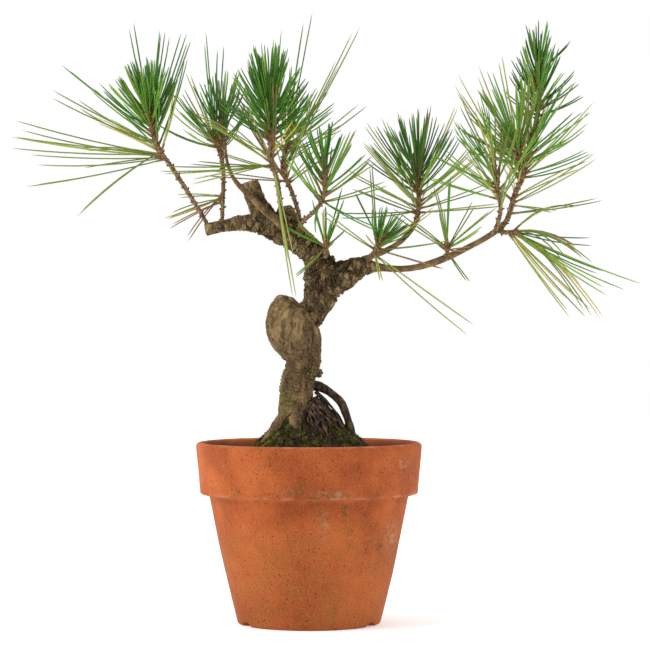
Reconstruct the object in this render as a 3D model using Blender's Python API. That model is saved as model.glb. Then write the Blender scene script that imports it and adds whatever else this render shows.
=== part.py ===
"""A Japanese black pine bonsai in a banded terracotta pot, modelled in metres with +Z up.

Paths, tips and radii are written in millimetres in the pot's own frame: x to the right,
y away from the viewer, z up from the surface that the pot stands on, with the pot's axis
at x = y = 0. The empty at the end carries every node and puts the middle of the whole
plant over the origin.
"""

import math
import random

import bmesh
import bpy
import numpy as np
from mathutils import Matrix, Vector

MM = 0.001
GAP = 0.3  # between two neighbouring nodes

POT_HEIGHT = 120.0
RIM_RADIUS = 75.0
RIM_THICKNESS = 5.2
BAND_HEIGHT = 34.0
BAND_FOOT_RADIUS = 72.3
BODY_TOP_RADIUS = 65.7
BASE_RADIUS = 47.6
WALL = 6.0
FLOOR = 8.0
DRAIN_RADIUS = 11.0
NOTCH_WIDTH = 11.0
NOTCH_HEIGHT = 3.0
NOTCH_ANGLES = (-150.0, -30.0, 90.0)  # about the pot's axis, from +X
POT_SIDES = 40

SOIL_LEVEL = 111.0
MOUND_CENTRE = (0.5, 0.0)
MOUND_RADIUS = 41.0
MOUND_HEIGHT = 35.0

NEEDLE_RADIUS = 1.0  # half the width of a needle at its bend
NEEDLE_ROOT_RADIUS = 0.7
NEEDLE_BEND_AT = 0.5
NEEDLE_CLEARANCE = 0.5
GOLDEN_ANGLE = math.pi * (3.0 - math.sqrt(5.0))

MIDDLE_OF_PLANT = (10.5, 8.0)  # of the whole plant's width and depth, in the pot's frame

# Each limb: its path, its radius at each point, its sides, and the limbs it is cut clear of.
LIMBS = {
    "left_bough": {
        "path": [(9, 5, 235), (3, 4, 245), (-4, 3, 252), (-14, 2, 259), (-24, 1, 263.5),
                 (-36, 0, 265.5), (-47, -1, 265.5), (-58, -2, 263.5), (-69, -3, 261)],
        "radii": [8, 8.6, 8.8, 9.8, 9.4, 6.2, 4.6, 4.0, 3.8],
        "sides": 10, "clear_of": ["trunk"],
    },
    "sawn_stub": {
        "path": [(-26, 3, 262), (-30, 5, 270), (-34.5, 6, 278), (-40, 6.5, 293)],
        "radii": [8.8, 8.2, 6.8, 6.3],
        "sides": 10, "clear_of": ["left_bough"],
    },
    "pruned_knob": {
        "path": [(-14, 3, 262), (-15, 4, 270), (-16.5, 4, 277)],
        "radii": [7.4, 7.2, 4.6],
        "sides": 9, "clear_of": ["left_bough", "sawn_stub"],
    },
    "front_limb": {
        "path": [(-13, -5, 259), (-22, -11, 267), (-32, -13.5, 276), (-41, -12, 285),
                 (-47, -9, 291), (-51, -6, 297), (-54.5, -5, 307), (-56, -5, 321)],
        "radii": [2.6, 2.5, 2.4, 2.1, 1.7, 1.3, 1.15, 1.1],
        "sides": 7, "clear_of": ["left_bough", "sawn_stub"],
    },
    "right_bough": {
        "path": [(9, 4, 230), (19, 3, 229), (27, 2, 233), (36, 0, 236.5), (48, -1, 236),
                 (61, -2, 235), (75, -3, 237), (90, -4, 242), (104, -4, 248.5),
                 (117, -4, 255.5), (129, -4, 263.5)],
        "radii": [10, 10.8, 9.2, 6.4, 2.9, 2.3, 2.2, 2.3, 2.0, 2.0, 2.0],
        "sides": 8, "clear_of": ["trunk"],
    },
    "inner_right_bough": {
        "path": [(33, 2, 240), (41, 8, 243.5), (50, 15, 247), (60, 21, 253), (68, 25, 261),
                 (74, 27, 271)],
        "radii": [2.4, 2.2, 2.0, 1.9, 1.8, 1.8],
        "sides": 7, "clear_of": ["right_bough"],
    },
    "aerial_root": {
        "path": [(-1, 3, 158), (6, 3, 157), (13, 3, 153.5), (21, 2, 146.5), (25, 1, 137),
                 (28, 0, 127), (30, 0, 118), (30.5, 0, 108)],
        "radii": [3.6, 3.4, 2.6, 2.7, 2.6, 2.7, 2.9, 3.0],
        "sides": 8, "clear_of": ["trunk"],
    },
}

# The trunk is the union of these tubes, cut flat at the soil.
TRUNK_TUBES = {
    "lower": ([(-8, 0, 100), (-8, 0, 113), (-8, 0, 128), (-8.5, 0, 145), (-8.2, 0, 158),
               (-5.6, -1, 167), (-3.6, -3, 176), (-6.6, -6, 185), (-10.6, -8, 193.5),
               (-12, -8, 202), (-12, -7, 209), (-9, -6, 213.5)],
              [17, 15, 12.8, 11.8, 11.2, 10.8, 12.0, 15.6, 17.4, 17.2, 13.5, 7.5], 12),
    "upper": ([(-5.5, 0, 196), (2, 4, 206.5), (7, 6, 216), (9, 6, 226.5), (8, 5, 236),
               (6.5, 4.5, 244), (8, 4.5, 250)],
              [10, 10.6, 11.0, 12.6, 11.2, 9.0, 5.5], 12),
    "left_root": ([(-9, -3, 150), (-14, -5, 140), (-21, -7, 128), (-29, -9, 117),
                   (-34, -10, 105)], [5.0, 5.4, 5.0, 4.4, 4.0], 8),
    "thin_left_root": ([(-16, 2, 134), (-25, 3, 124), (-34, 3, 116), (-40, 3, 106)],
                       [3.0, 2.6, 2.2, 2.0], 6),
    "front_root": ([(-8, -8, 142), (-8, -14, 133), (-7.5, -18, 122), (-7, -20, 105)],
                   [4.6, 5.0, 4.6, 4.4], 8),
    "back_root": ([(-6, 6, 148), (-2, 14, 134), (2, 22, 121), (4, 27, 105)],
                  [5.0, 5.6, 4.6, 4.0], 8),
    "waist_knob": ([(-2, -3, 170), (4, -4, 167), (8.5, -4, 164.5)], [4.6, 4.2, 2.4], 7),
    "cut_knob": ([(-8.5, -4, 158), (-9, -11, 157.5), (-9, -13.5, 157.3)], [3.6, 3.2, 2.6], 7),
}

# Each mass of needles. "stem" is its path from the limb that carries it, "shoots" are side
# twigs, and path 0 is the stem. A spray sets "count" needles along "span" of the path "on":
# each leaves the path's own direction, or the direction "aim", by an angle of "spread"
# degrees, turned by the golden angle from the last, and its curve adds "bend" to its end in
# shares of its length. "tips" are the mass's furthest needles, each from the share of the
# stem where it starts to its tip.
MASSES = {
    "needles_left_outer": {
        "clear_of": ["left_bough"], "seed": 11,
        "stem": [(-66, -3, 262), (-76, -6, 279), (-90, -10, 301), (-99, -13, 314),
                 (-104, -15, 329), (-107, -16, 346)],
        "radii": (1.5, 1.9),
        "shoots": [],
        "sprays": [
            {"on": 0, "span": (0.80, 1.0), "count": 34, "length": (26, 40), "spread": (52, 10)},
            {"on": 0, "span": (0.62, 0.78), "count": 10, "length": (46, 66), "spread": (56, 30)},
            {"on": 0, "span": (0.58, 0.64), "count": 5, "length": (56, 76), "spread": (14, 50),
             "aim": (-1, 0, 0.2), "bend": (0, 0, -0.06)},
        ],
        "tips": [(0.60, (-193, -24, 332)), (0.59, (-199, -4, 323)), (0.61, (-194, -34, 313)),
                 (0.58, (-188, 14, 312)), (0.57, (-187, -14, 289)), (0.70, (-166, -44, 350)),
                 (0.76, (-166, 8, 372)), (0.80, (-116, -10, 398)), (0.84, (-97, -34, 390)),
                 (0.82, (-96, 4, 394)), (0.78, (-80, -24, 389)), (0.74, (-79, 12, 389))],
    },
    "needles_left_inner": {
        "clear_of": ["left_bough"], "seed": 12,
        "stem": [(-58, -1, 265), (-57.5, 4, 281), (-57.5, 11, 301), (-60, 16, 314),
                 (-65, 19, 324)],
        "radii": (1.4, 1.7),
        "shoots": [[(-58, 12, 305), (-59, 18, 322), (-59, 20, 343)]],
        "sprays": [
            {"on": 1, "span": (0.3, 1.0), "count": 16, "length": (28, 40), "spread": (52, 14)},
            {"on": 0, "span": (0.86, 1.0), "count": 12, "length": (34, 50), "spread": (60, 16),
             "bend": (0, 0, 0.12)},
            {"on": 0, "span": (0.24, 0.34), "count": 4, "length": (32, 42), "spread": (10, 40),
             "aim": (-1, 0.2, -0.2), "bend": (0, 0, -0.1)},
        ],
        "tips": [(0.95, (-70, 28, 396)), (0.9, (-57, 8, 385)), (0.85, (-48, 40, 369)),
                 (0.3, (-97, 6, 269))],
    },
    "needles_centre_front": {
        "clear_of": ["left_bough", "pruned_knob"], "seed": 13,
        "stem": [(-18, 3, 270), (-19.5, 2, 282), (-21.5, -2, 295), (-24.5, -6, 305),
                 (-25.5, -8, 317), (-26, -10, 333), (-26, -12, 353)],
        "radii": (1.6, 2.1),
        "shoots": [],
        "sprays": [
            {"on": 0, "span": (0.60, 1.0), "count": 60, "length": (30, 43), "spread": (58, 12)},
            {"on": 0, "span": (0.40, 0.52), "count": 7, "length": (46, 62), "spread": (20, 70),
             "bend": (0, 0, 0.06)},
            {"on": 0, "span": (0.40, 0.46), "count": 4, "length": (56, 70), "spread": (14, 40),
             "aim": (-1, 0, 0.0), "bend": (0, 0, 0.04)},
        ],
        "tips": [(0.55, (-18, -20, 392)), (0.42, (-98, -34, 298)), (0.42, (-98, -8, 295)),
                 (0.38, (-8, -34, 215)), (0.4, (-13, -42, 239))],
    },
    "needles_centre_back": {
        "clear_of": ["left_bough"], "seed": 14,
        "stem": [(-6, 9, 258), (-7, 16, 272), (-12, 24, 288), (-18, 31, 303),
                 (-16, 37, 318), (-12, 42, 333)],
        "radii": (1.5, 1.8),
        "shoots": [],
        "sprays": [
            {"on": 0, "span": (0.72, 1.0), "count": 24, "length": (30, 46), "spread": (56, 14)},
            {"on": 0, "span": (0.45, 0.62), "count": 9, "length": (56, 76), "spread": (70, 40),
             "bend": (0, 0, 0.08)},
        ],
        "tips": [(0.8, (2, 50, 412.5)), (0.62, (35, 66, 404)), (0.7, (18, 32, 377)),
                 (0.66, (40, 58, 349)), (0.5, (17, 98, 340)), (0.5, (-30, 112, 344))],
    },
    "needles_centre_right": {
        "clear_of": ["left_bough"], "seed": 15,
        "stem": [(-7, -3, 260), (-4, -12, 266), (4, -19, 273), (9, -26, 280), (10.5, -29, 289),
                 (10, -31, 305)],
        "radii": (1.4, 1.7),
        "shoots": [],
        "sprays": [
            {"on": 0, "span": (0.70, 1.0), "count": 16, "length": (24, 34), "spread": (46, 12)},
            {"on": 0, "span": (0.50, 0.64), "count": 8, "length": (40, 58), "spread": (70, 34)},
        ],
        "tips": [(0.7, (31, -56, 324)), (0.62, (44, -64, 302)), (0.55, (-2, -88, 300))],
    },
    "needles_fork": {
        "clear_of": ["trunk"], "seed": 16,
        "stem": [(11, -4, 243), (11.5, -9, 247), (11, -14, 252)],
        "radii": (1.7, 1.5),
        "shoots": [],
        "sprays": [
            {"on": 0, "span": (0.6, 1.0), "count": 9, "length": (18, 34), "spread": (56, 10),
             "aim": (0, -0.5, 1)},
        ],
        "tips": [(0.8, (22, -30, 288)), (0.8, (-15, -36, 262)), (0.7, (-9, -38, 230))],
    },
    "needles_right_inner": {
        "clear_of": ["inner_right_bough"], "seed": 17,
        "stem": [(72, 26.4, 267), (74, 27.5, 279), (73.5, 28, 292), (72.5, 28, 307)],
        "radii": (1.7, 1.9),
        "shoots": [],
        "sprays": [
            {"on": 0, "span": (0.45, 1.0), "count": 32, "length": (34, 50), "spread": (58, 12)},
            {"on": 0, "span": (0.14, 0.36), "count": 12, "length": (52, 68), "spread": (86, 44),
             "bend": (0, 0, 0.06)},
        ],
        "tips": [(0.5, (38, 12, 334)), (0.5, (49, 46, 340)), (0.6, (74, 42, 346)),
                 (0.6, (82, 14, 346)), (0.5, (101, 36, 346)), (0.2, (16, 14, 273)),
                 (0.3, (84, 102, 300)), (0.3, (50, 98, 312))],
    },
    "needles_right_small": {
        "clear_of": ["right_bough"], "seed": 18,
        "stem": [(39, -1, 240), (42, -8, 244.5), (45, -12, 249), (48, -14, 255)],
        "radii": (1.5, 1.8),
        "shoots": [],
        "sprays": [
            {"on": 0, "span": (0.7, 1.0), "count": 12, "length": (18, 30), "spread": (50, 14)},
            {"on": 0, "span": (0.5, 0.7), "count": 7, "length": (44, 62), "spread": (86, 56),
             "bend": (0, 0, 0.06)},
        ],
        "tips": [(0.9, (30, -34, 284)), (0.6, (93, -34, 253)), (0.45, (104, -30, 191))],
    },
    "needles_right_node": {
        "clear_of": ["right_bough"], "seed": 19,
        "stem": [(91, -4, 242), (91.5, -8, 246), (91, -12, 250)],
        "radii": (1.6, 1.4),
        "shoots": [],
        "sprays": [
            {"on": 0, "span": (0.6, 1.0), "count": 8, "length": (34, 54), "spread": (80, 24),
             "aim": (0.1, -0.4, 1)},
        ],
        "tips": [(0.9, (93, -24, 296)), (0.8, (113, -40, 262)), (0.6, (106, -20, 226))],
    },
    "needles_right_outer": {
        "clear_of": ["right_bough"], "seed": 20,
        "stem": [(127, -4, 262), (132, -4, 269), (136.5, -2, 284), (142, 1, 296),
                 (146.5, 4, 311), (150.5, 6, 328), (153.5, 7, 347), (153, 8, 371)],
        "radii": (2.0, 1.8),
        "shoots": [[(141.5, 0, 295), (140, -8, 306), (137, -14, 320)]],
        "sprays": [
            {"on": 0, "span": (0.70, 1.0), "count": 36, "length": (24, 35), "spread": (52, 10)},
            {"on": 0, "span": (0.32, 0.58), "count": 22, "length": (42, 60), "spread": (56, 26)},
            {"on": 1, "span": (0.3, 1.0), "count": 30, "length": (38, 54), "spread": (58, 14)},
            {"on": 0, "span": (0.14, 0.26), "count": 6, "length": (48, 66), "spread": (76, 46)},
        ],
        "tips": [(0.3, (97, -36, 361)), (0.34, (112, -12, 369)), (0.32, (99, 16, 354)),
                 (0.97, (144, 0, 398)), (0.98, (154, 16, 403)), (0.98, (158, -6, 400)),
                 (0.96, (176, 18, 389)), (0.34, (187, -20, 344)), (0.16, (193, 26, 314)),
                 (0.1, (194, -14, 280))],
    },
    "needles_right_low": {
        "clear_of": ["right_bough"], "seed": 21,
        "stem": [(121, -5, 257), (124, -12, 263), (126, -19, 275), (122.5, -26, 292),
                 (121, -29, 305)],
        "radii": (1.5, 1.6),
        "shoots": [],
        "sprays": [
            {"on": 0, "span": (0.5, 1.0), "count": 20, "length": (36, 56), "spread": (60, 12),
             "aim": (-0.35, -0.2, 1)},
        ],
        "tips": [(0.6, (93, -54, 330)), (0.5, (100, -76, 308)), (0.4, (128, -96, 296))],
    },
    "needles_right_droop": {
        "clear_of": ["right_bough"], "seed": 22,
        "stem": [(125.5, -4, 260.5), (130, -9.5, 259), (137, -12.5, 259.5)],
        "radii": (1.9, 1.6),
        "shoots": [],
        "sprays": [
            {"on": 0, "span": (0.5, 1.0), "count": 9, "length": (50, 72), "spread": (8, 50),
             "aim": (1, 0, 0.1), "bend": (0, 0, -0.45)},
        ],
        "tips": [(0.9, (220, -10, 225)), (0.8, (198, 20, 234)), (0.8, (194, -36, 217)),
                 (0.7, (174, -52, 214)), (0.7, (185, 8, 203)), (0.6, (171, -22, 203)),
                 (0.9, (191, 34, 257))],
    },
}
TIP_BEND = (0.0, 0.0, 0.07)  # of the furthest needles, which rise a little and level out


def principled(name, colour, roughness):
    material = bpy.data.materials.new(name)
    material.use_nodes = True
    shader = material.node_tree.nodes["Principled BSDF"]
    shader.inputs["Base Color"].default_value = (*colour, 1.0)
    shader.inputs["Roughness"].default_value = roughness
    material.diffuse_color = (*colour, 1.0)
    return material


def new_object(name, points, faces, material=None):
    """An object from points in millimetres, its faces turned outwards."""
    mesh = bpy.data.meshes.new(name)
    mesh.from_pydata([tuple(MM * c for c in p) for p in points], [], faces)
    shell = bmesh.new()
    shell.from_mesh(mesh)
    bmesh.ops.recalc_face_normals(shell, faces=shell.faces)
    shell.to_mesh(mesh)
    shell.free()
    if material:
        mesh.materials.append(material)
    obj = bpy.data.objects.new(name, mesh)
    bpy.context.scene.collection.objects.link(obj)
    return obj


def remove(obj):
    mesh = obj.data
    bpy.data.objects.remove(obj)
    bpy.data.meshes.remove(mesh)


def apply_boolean(obj, operation, other=None, collection=None, solver="EXACT"):
    """Joins another object or collection to this one, or cuts it away, for good."""
    modifier = obj.modifiers.new(operation.lower(), "BOOLEAN")
    modifier.operation = operation
    modifier.solver = solver
    if collection:
        modifier.operand_type = "COLLECTION"
        modifier.collection = collection
    else:
        modifier.object = other
    graph = bpy.context.evaluated_depsgraph_get()
    result = bpy.data.meshes.new_from_object(obj.evaluated_get(graph))
    obj.modifiers.remove(modifier)
    old = obj.data
    obj.data = result
    result.name = obj.name
    bpy.data.meshes.remove(old)


def smooth_path(points, radii, steps):
    """A Catmull-Rom curve through the points, with the radii carried along it."""
    rows = np.array([(*p, r) for p, r in zip(points, radii)], float)
    ends = np.vstack([2 * rows[0] - rows[1], rows, 2 * rows[-1] - rows[-2]])
    curve = []
    for i in range(1, len(ends) - 2):
        before, here, there, after = ends[i - 1:i + 3]
        for t in np.arange(steps) / steps:
            curve.append(0.5 * (2 * here + (there - before) * t
                                + (2 * before - 5 * here + 4 * there - after) * t * t
                                + (3 * here - before - 3 * there + after) * t ** 3))
    curve = np.array([*curve, rows[-1]])
    return curve[:, :3], curve[:, 3]


def tube_mesh(path, radii, sides):
    """Rings carried along a path without twist, closed by a flat cap at each end."""
    path = np.asarray(path, float)
    ahead = np.gradient(path, axis=0)
    ahead /= np.linalg.norm(ahead, axis=1)[:, None]
    side = np.cross(ahead[0], (0.31, 0.95, 0.11))
    points = []
    for centre, direction, radius in zip(path, ahead, radii):
        side = side - direction * side.dot(direction)
        side /= np.linalg.norm(side)
        up = np.cross(direction, side)
        for k in range(sides):
            turn = 2 * math.pi * k / sides
            points.append(centre + radius * (math.cos(turn) * side + math.sin(turn) * up))
    faces = []
    for ring in range(len(path) - 1):
        for k in range(sides):
            a = ring * sides + k
            b = ring * sides + (k + 1) % sides
            faces.append((a, b, b + sides, a + sides))
    faces.append(tuple(range(sides)))
    last = (len(path) - 1) * sides
    faces.append(tuple(range(last, last + sides)))
    return points, faces


def turned(profile, sides):
    """A closed (radius, height) outline turned about the Z axis, as points and faces."""
    points = []
    for radius, height in profile:
        for k in range(sides):
            turn = 2 * math.pi * k / sides
            points.append((radius * math.cos(turn), radius * math.sin(turn), height))
    faces = []
    rows = len(profile)
    for row in range(rows):
        for k in range(sides):
            a = row * sides + k
            b = row * sides + (k + 1) % sides
            c = ((row + 1) % rows) * sides
            faces.append((a, b, c + (k + 1) % sides, c + k))
    return points, faces


def arc(centre, radius, start, end, steps):
    """Points of an arc in the (radius, height) plane, angles in degrees."""
    angles = np.radians(np.linspace(start, end, steps))
    return [(centre[0] + radius * math.cos(a), centre[1] + radius * math.sin(a)) for a in angles]


def inner_radius(height):
    """Radius of the pot's inside at a height: steep under the band, then flaring to the lip."""
    floor_radius = BASE_RADIUS - WALL
    shoulder = POT_HEIGHT - BAND_HEIGHT
    shoulder_radius = BODY_TOP_RADIUS - WALL
    if height < shoulder:
        share = (height - FLOOR) / (shoulder - FLOOR)
        return floor_radius + share * (shoulder_radius - floor_radius)
    share = (height - shoulder) / BAND_HEIGHT
    return shoulder_radius + share * (RIM_RADIUS - RIM_THICKNESS - shoulder_radius)


def make_pot(material):
    """The turned pot, with a rounded lip, a stepped band, a drain hole and three foot notches."""
    lip = RIM_THICKNESS / 2
    lip_centre = (RIM_RADIUS - lip, POT_HEIGHT - lip)
    band_foot = POT_HEIGHT - BAND_HEIGHT
    profile = [(DRAIN_RADIUS, 0.0), (BASE_RADIUS - 1.2, 0.0), (BASE_RADIUS - 0.2, 0.9)]
    for share in (0.33, 0.66):
        bulge = 0.9 * math.sin(math.pi * share)
        profile.append((BASE_RADIUS + share * (BODY_TOP_RADIUS - BASE_RADIUS) + bulge,
                        share * (band_foot - 2.0)))
    profile += [(BODY_TOP_RADIUS, band_foot - 2.0), (BODY_TOP_RADIUS + 1.2, band_foot)]
    profile += arc((BAND_FOOT_RADIUS - 1.2, band_foot + 1.2), 1.2, -90, 0, 3)
    profile += arc(lip_centre, lip, 0, 180, 5)
    profile += [(inner_radius(band_foot), band_foot), (inner_radius(FLOOR + 3), FLOOR + 3),
                (inner_radius(FLOOR) - 3, FLOOR), (DRAIN_RADIUS, FLOOR)]
    pot = new_object("pot", *turned(profile, POT_SIDES), material)
    for angle in NOTCH_ANGLES:
        points, faces = tube_mesh([(0, 0, 0), (2 * WALL + 8, 0, 0)], [1, 1], 12)
        notch = new_object("notch", points, faces)
        notch.data.transform(
            Matrix.Rotation(math.radians(angle), 4, "Z")
            @ Matrix.Translation((MM * (BASE_RADIUS - 2 * WALL), 0, 0))
            @ Matrix.Diagonal((1, NOTCH_WIDTH / 2, NOTCH_HEIGHT, 1)))
        apply_boolean(pot, "DIFFERENCE", notch)
        remove(notch)
    return pot


def ripple(x, y, scale):
    """A smooth uneven surface between -1 and 1, from three crossed waves."""
    return (math.sin(x / scale + 1.3 * math.sin(y / scale))
            + math.sin(0.83 * y / scale - 0.9 * math.sin(x / scale + 1.0))
            + math.sin((x - y) / (1.6 * scale) + 2.0)) / 3


def make_soil(material):
    """The soil that fills the pot, level under the mound and a little uneven round it."""
    rings = [0.4, 0.66, 0.83, 1.0]
    top_radius = inner_radius(SOIL_LEVEL) - GAP - 0.1
    points = []
    for share in rings:
        radius = share * top_radius
        rough = 0.9 * min(1.0, max(0.0, (radius - MOUND_RADIUS - 4) / 5)) * (share < 1.0)
        for k in range(POT_SIDES):
            turn = 2 * math.pi * k / POT_SIDES
            x, y = radius * math.cos(turn), radius * math.sin(turn)
            points.append((x, y, SOIL_LEVEL + rough * ripple(x, y, 7.0)))
    shoulder = POT_HEIGHT - BAND_HEIGHT
    for height in (shoulder, FLOOR + 3 + GAP, FLOOR + GAP):
        radius = inner_radius(height) - GAP - 0.1 - (3.0 if height < FLOOR + 1 else 0.0)
        for k in range(POT_SIDES):
            turn = 2 * math.pi * k / POT_SIDES
            points.append((radius * math.cos(turn), radius * math.sin(turn), height))
    faces = [tuple(range(POT_SIDES))]
    rows = len(points) // POT_SIDES
    for row in range(rows - 1):
        for k in range(POT_SIDES):
            a = row * POT_SIDES + k
            b = row * POT_SIDES + (k + 1) % POT_SIDES
            faces.append((a, b, b + POT_SIDES, a + POT_SIDES))
    faces.append(tuple(range((rows - 1) * POT_SIDES, rows * POT_SIDES)))
    return new_object("soil", points, faces, material)


def make_mound(material):
    """The mossy mound of old soil round the trunk's foot, on a flat underside."""
    sides = 22
    shares = [0.15, 0.4, 0.65, 0.85, 1.0]
    points = []
    for share in shares:
        for k in range(sides):
            turn = 2 * math.pi * k / sides
            edge = MOUND_RADIUS * (1 + 0.07 * math.sin(2 * turn + 1.0)
                                   + 0.05 * math.sin(5 * turn))
            x = MOUND_CENTRE[0] + share * edge * math.cos(turn)
            y = MOUND_CENTRE[1] + share * edge * math.sin(turn)
            rise = MOUND_HEIGHT * (1 - share ** 1.25)
            rise += 1.3 * ripple(x, y, 6.0) * (share < 0.9)
            points.append((x, y, SOIL_LEVEL + GAP + 0.8 + rise))
    for share in (1.0,):
        for k in range(sides):
            x, y, _ = points[(len(shares) - 1) * sides + k]
            points.append((x, y, SOIL_LEVEL + GAP))
    faces = [tuple(range(sides))]
    rows = len(points) // sides
    for row in range(rows - 1):
        for k in range(sides):
            a = row * sides + k
            b = row * sides + (k + 1) % sides
            faces.append((a, b, b + sides, a + sides))
    faces.append(tuple(range((rows - 1) * sides, rows * sides)))
    return new_object("moss_mound", points, faces, material)


def cut_level(obj, height):
    """Cuts away what lies under a height, which leaves a flat underside."""
    points, faces = tube_mesh([(0, 0, height - 60), (0, 0, height)], [120, 120], 4)
    block = new_object("block", points, faces)
    apply_boolean(obj, "DIFFERENCE", block)
    remove(block)


def trunk_tube(name, grow=0.0, steps=2):
    path, radii, sides = TRUNK_TUBES[name]
    path, radii = smooth_path(path, radii, steps)
    if name == "lower":
        # the swelling over the waist is broader than deep and twists as it rises
        radii = radii * (1 + 0.03 * np.sin(path[:, 2] * 0.35))
    return tube_mesh(path, radii + grow, sides)


def make_trunk(material):
    trunk = new_object("trunk", *trunk_tube("lower"), material)
    for name in TRUNK_TUBES:
        if name == "lower":
            continue
        other = new_object(name, *trunk_tube(name, steps=2))
        apply_boolean(trunk, "UNION", other)
        remove(other)
    cut_level(trunk, SOIL_LEVEL + GAP)
    return trunk


def limb_tube(name, grow=0.0):
    limb = LIMBS[name]
    path, radii = smooth_path(limb["path"], limb["radii"], 2)
    return tube_mesh(path, radii + grow, limb["sides"])


def clear_of(obj, limb, solver="EXACT"):
    """Cuts an object back to the gap round a limb or the trunk."""
    grown = 1.15 * GAP + 0.15
    tubes = [trunk_tube(name, grown) for name in TRUNK_TUBES] if limb == "trunk" \
        else [limb_tube(limb, grown)]
    for points, faces in tubes:
        cutter = new_object("cutter", points, faces)
        apply_boolean(obj, "DIFFERENCE", cutter, solver=solver)
        remove(cutter)


def keep_one_body(obj):
    """Drops loose scraps and the walls of sealed hollows: all but the widest shell."""
    shell = bmesh.new()
    shell.from_mesh(obj.data)
    shell.verts.ensure_lookup_table()
    left = set(shell.verts)
    bodies = []
    while left:
        stack = [left.pop()]
        body = set(stack)
        while stack:
            for edge in stack.pop().link_edges:
                for vert in edge.verts:
                    if vert not in body:
                        body.add(vert)
                        stack.append(vert)
        left -= body
        bodies.append(body)
    bodies.sort(key=len)
    for body in bodies[:-1]:
        bmesh.ops.delete(shell, geom=list(body), context="VERTS")
    shell.to_mesh(obj.data)
    shell.free()


def make_limb(name, material):
    limb = new_object(name, *limb_tube(name), material)
    for other in LIMBS[name]["clear_of"]:
        clear_of(limb, other)
    keep_one_body(limb)
    return limb


def unit(vector):
    return vector / np.linalg.norm(vector)


def along(path, share):
    """The point and the direction at a share of a path's length."""
    steps = np.linalg.norm(np.diff(path, axis=0), axis=1)
    reach = np.concatenate([[0.0], np.cumsum(steps)])
    at = share * reach[-1]
    i = int(min(np.searchsorted(reach, at, side="right") - 1, len(steps) - 1))
    rest = (at - reach[i]) / steps[i]
    return path[i] + rest * (path[i + 1] - path[i]), unit(path[i + 1] - path[i])


def mass_paths(mass):
    """The stem's curve and those of its side twigs, each with its radii."""
    paths = []
    for points in [mass["stem"], *mass["shoots"]]:
        radii = np.linspace(*mass["radii"], len(points))
        paths.append((np.array(points, float), radii))
    return paths


def needle_curve(root, reach, bend, shares):
    """Points of a needle: a straight reach from its root, with a bend that grows as s squared."""
    shares = np.asarray(shares)[:, None]
    return root + reach * shares + bend * shares ** 2


def tip_needles(mass, paths):
    """(root, reach, bend) of each of the furthest needles, whose curves end on their tips."""
    for share, tip in mass["tips"]:
        root, _ = along(paths[0][0], share)
        whole = np.array(tip, float) - root
        bend = np.linalg.norm(whole) * np.array(TIP_BEND)
        yield root, whole - bend, bend


def spray_needles(mass, paths):
    """(root, reach, bend) of each needle of each spray, by the golden-angle rule."""
    rng = random.Random(mass["seed"])
    for spray in mass["sprays"]:
        path = paths[spray["on"]][0]
        turn = rng.uniform(0, 2 * math.pi)
        for i in range(spray["count"]):
            share = (i + 0.5) / spray["count"]
            root, ahead = along(path, spray["span"][0]
                                + share * (spray["span"][1] - spray["span"][0]))
            ahead = unit(np.array(spray["aim"], float)) if "aim" in spray else ahead
            side = unit(np.cross(ahead, (0.2, 0.9, 0.3)))
            up = np.cross(ahead, side)
            turn += GOLDEN_ANGLE
            lean = math.radians(spray["spread"][0]
                                + share * (spray["spread"][1] - spray["spread"][0])
                                + rng.uniform(-7, 7))
            out = math.cos(turn) * side + math.sin(turn) * up
            length = rng.uniform(*spray["length"])
            reach = length * (math.cos(lean) * ahead + math.sin(lean) * out)
            yield root, reach, length * np.array(spray.get("bend", (0, 0, 0.0)))


def segment_distance(a0, a1, b0, b1):
    """Least distances between one segment and many, worked out for all of them at once."""
    u, v, w = a1 - a0, b1 - b0, a0 - b0
    uu, vv = u @ u, np.einsum("ij,ij->i", v, v)
    uv, uw, vw = v @ u, w @ u, np.einsum("ij,ij->i", v, w)
    slant = uu * vv - uv * uv
    s = np.clip(np.where(slant > 1e-9, (uv * vw - vv * uw) / np.maximum(slant, 1e-9), 0), 0, 1)
    t = np.clip((uv * s + vw) / np.maximum(vv, 1e-9), 0, 1)
    s = np.clip((uv * t - uw) / max(uu, 1e-9), 0, 1)
    return np.linalg.norm(w + s[:, None] * u - t[:, None] * v, axis=1)


class Space:
    """The capsules that are taken: their ends, radii and owners."""

    def __init__(self):
        self.starts, self.ends, self.radii, self.owners = [], [], [], []

    def add(self, points, radii, owner):
        for i in range(len(points) - 1):
            self.starts.append(points[i])
            self.ends.append(points[i + 1])
            self.radii.append(max(radii[i], radii[i + 1]))
            self.owners.append(owner)

    def free(self, points, owner):
        """Whether a needle keeps clear of every limb and of every other mass."""
        others = np.array([o != owner for o in self.owners])
        starts, ends = np.array(self.starts)[others], np.array(self.ends)[others]
        room = np.array(self.radii)[others] + NEEDLE_RADIUS + NEEDLE_CLEARANCE
        return all((segment_distance(points[i], points[i + 1], starts, ends) > room).all()
                   for i in range(len(points) - 1))


def taken_by_limbs():
    space = Space()
    for path, radii, _ in TRUNK_TUBES.values():
        space.add(*smooth_path(path, radii, 2), "trunk")
    for name, limb in LIMBS.items():
        space.add(*smooth_path(limb["path"], limb["radii"], 2), name)
    return space


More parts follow.
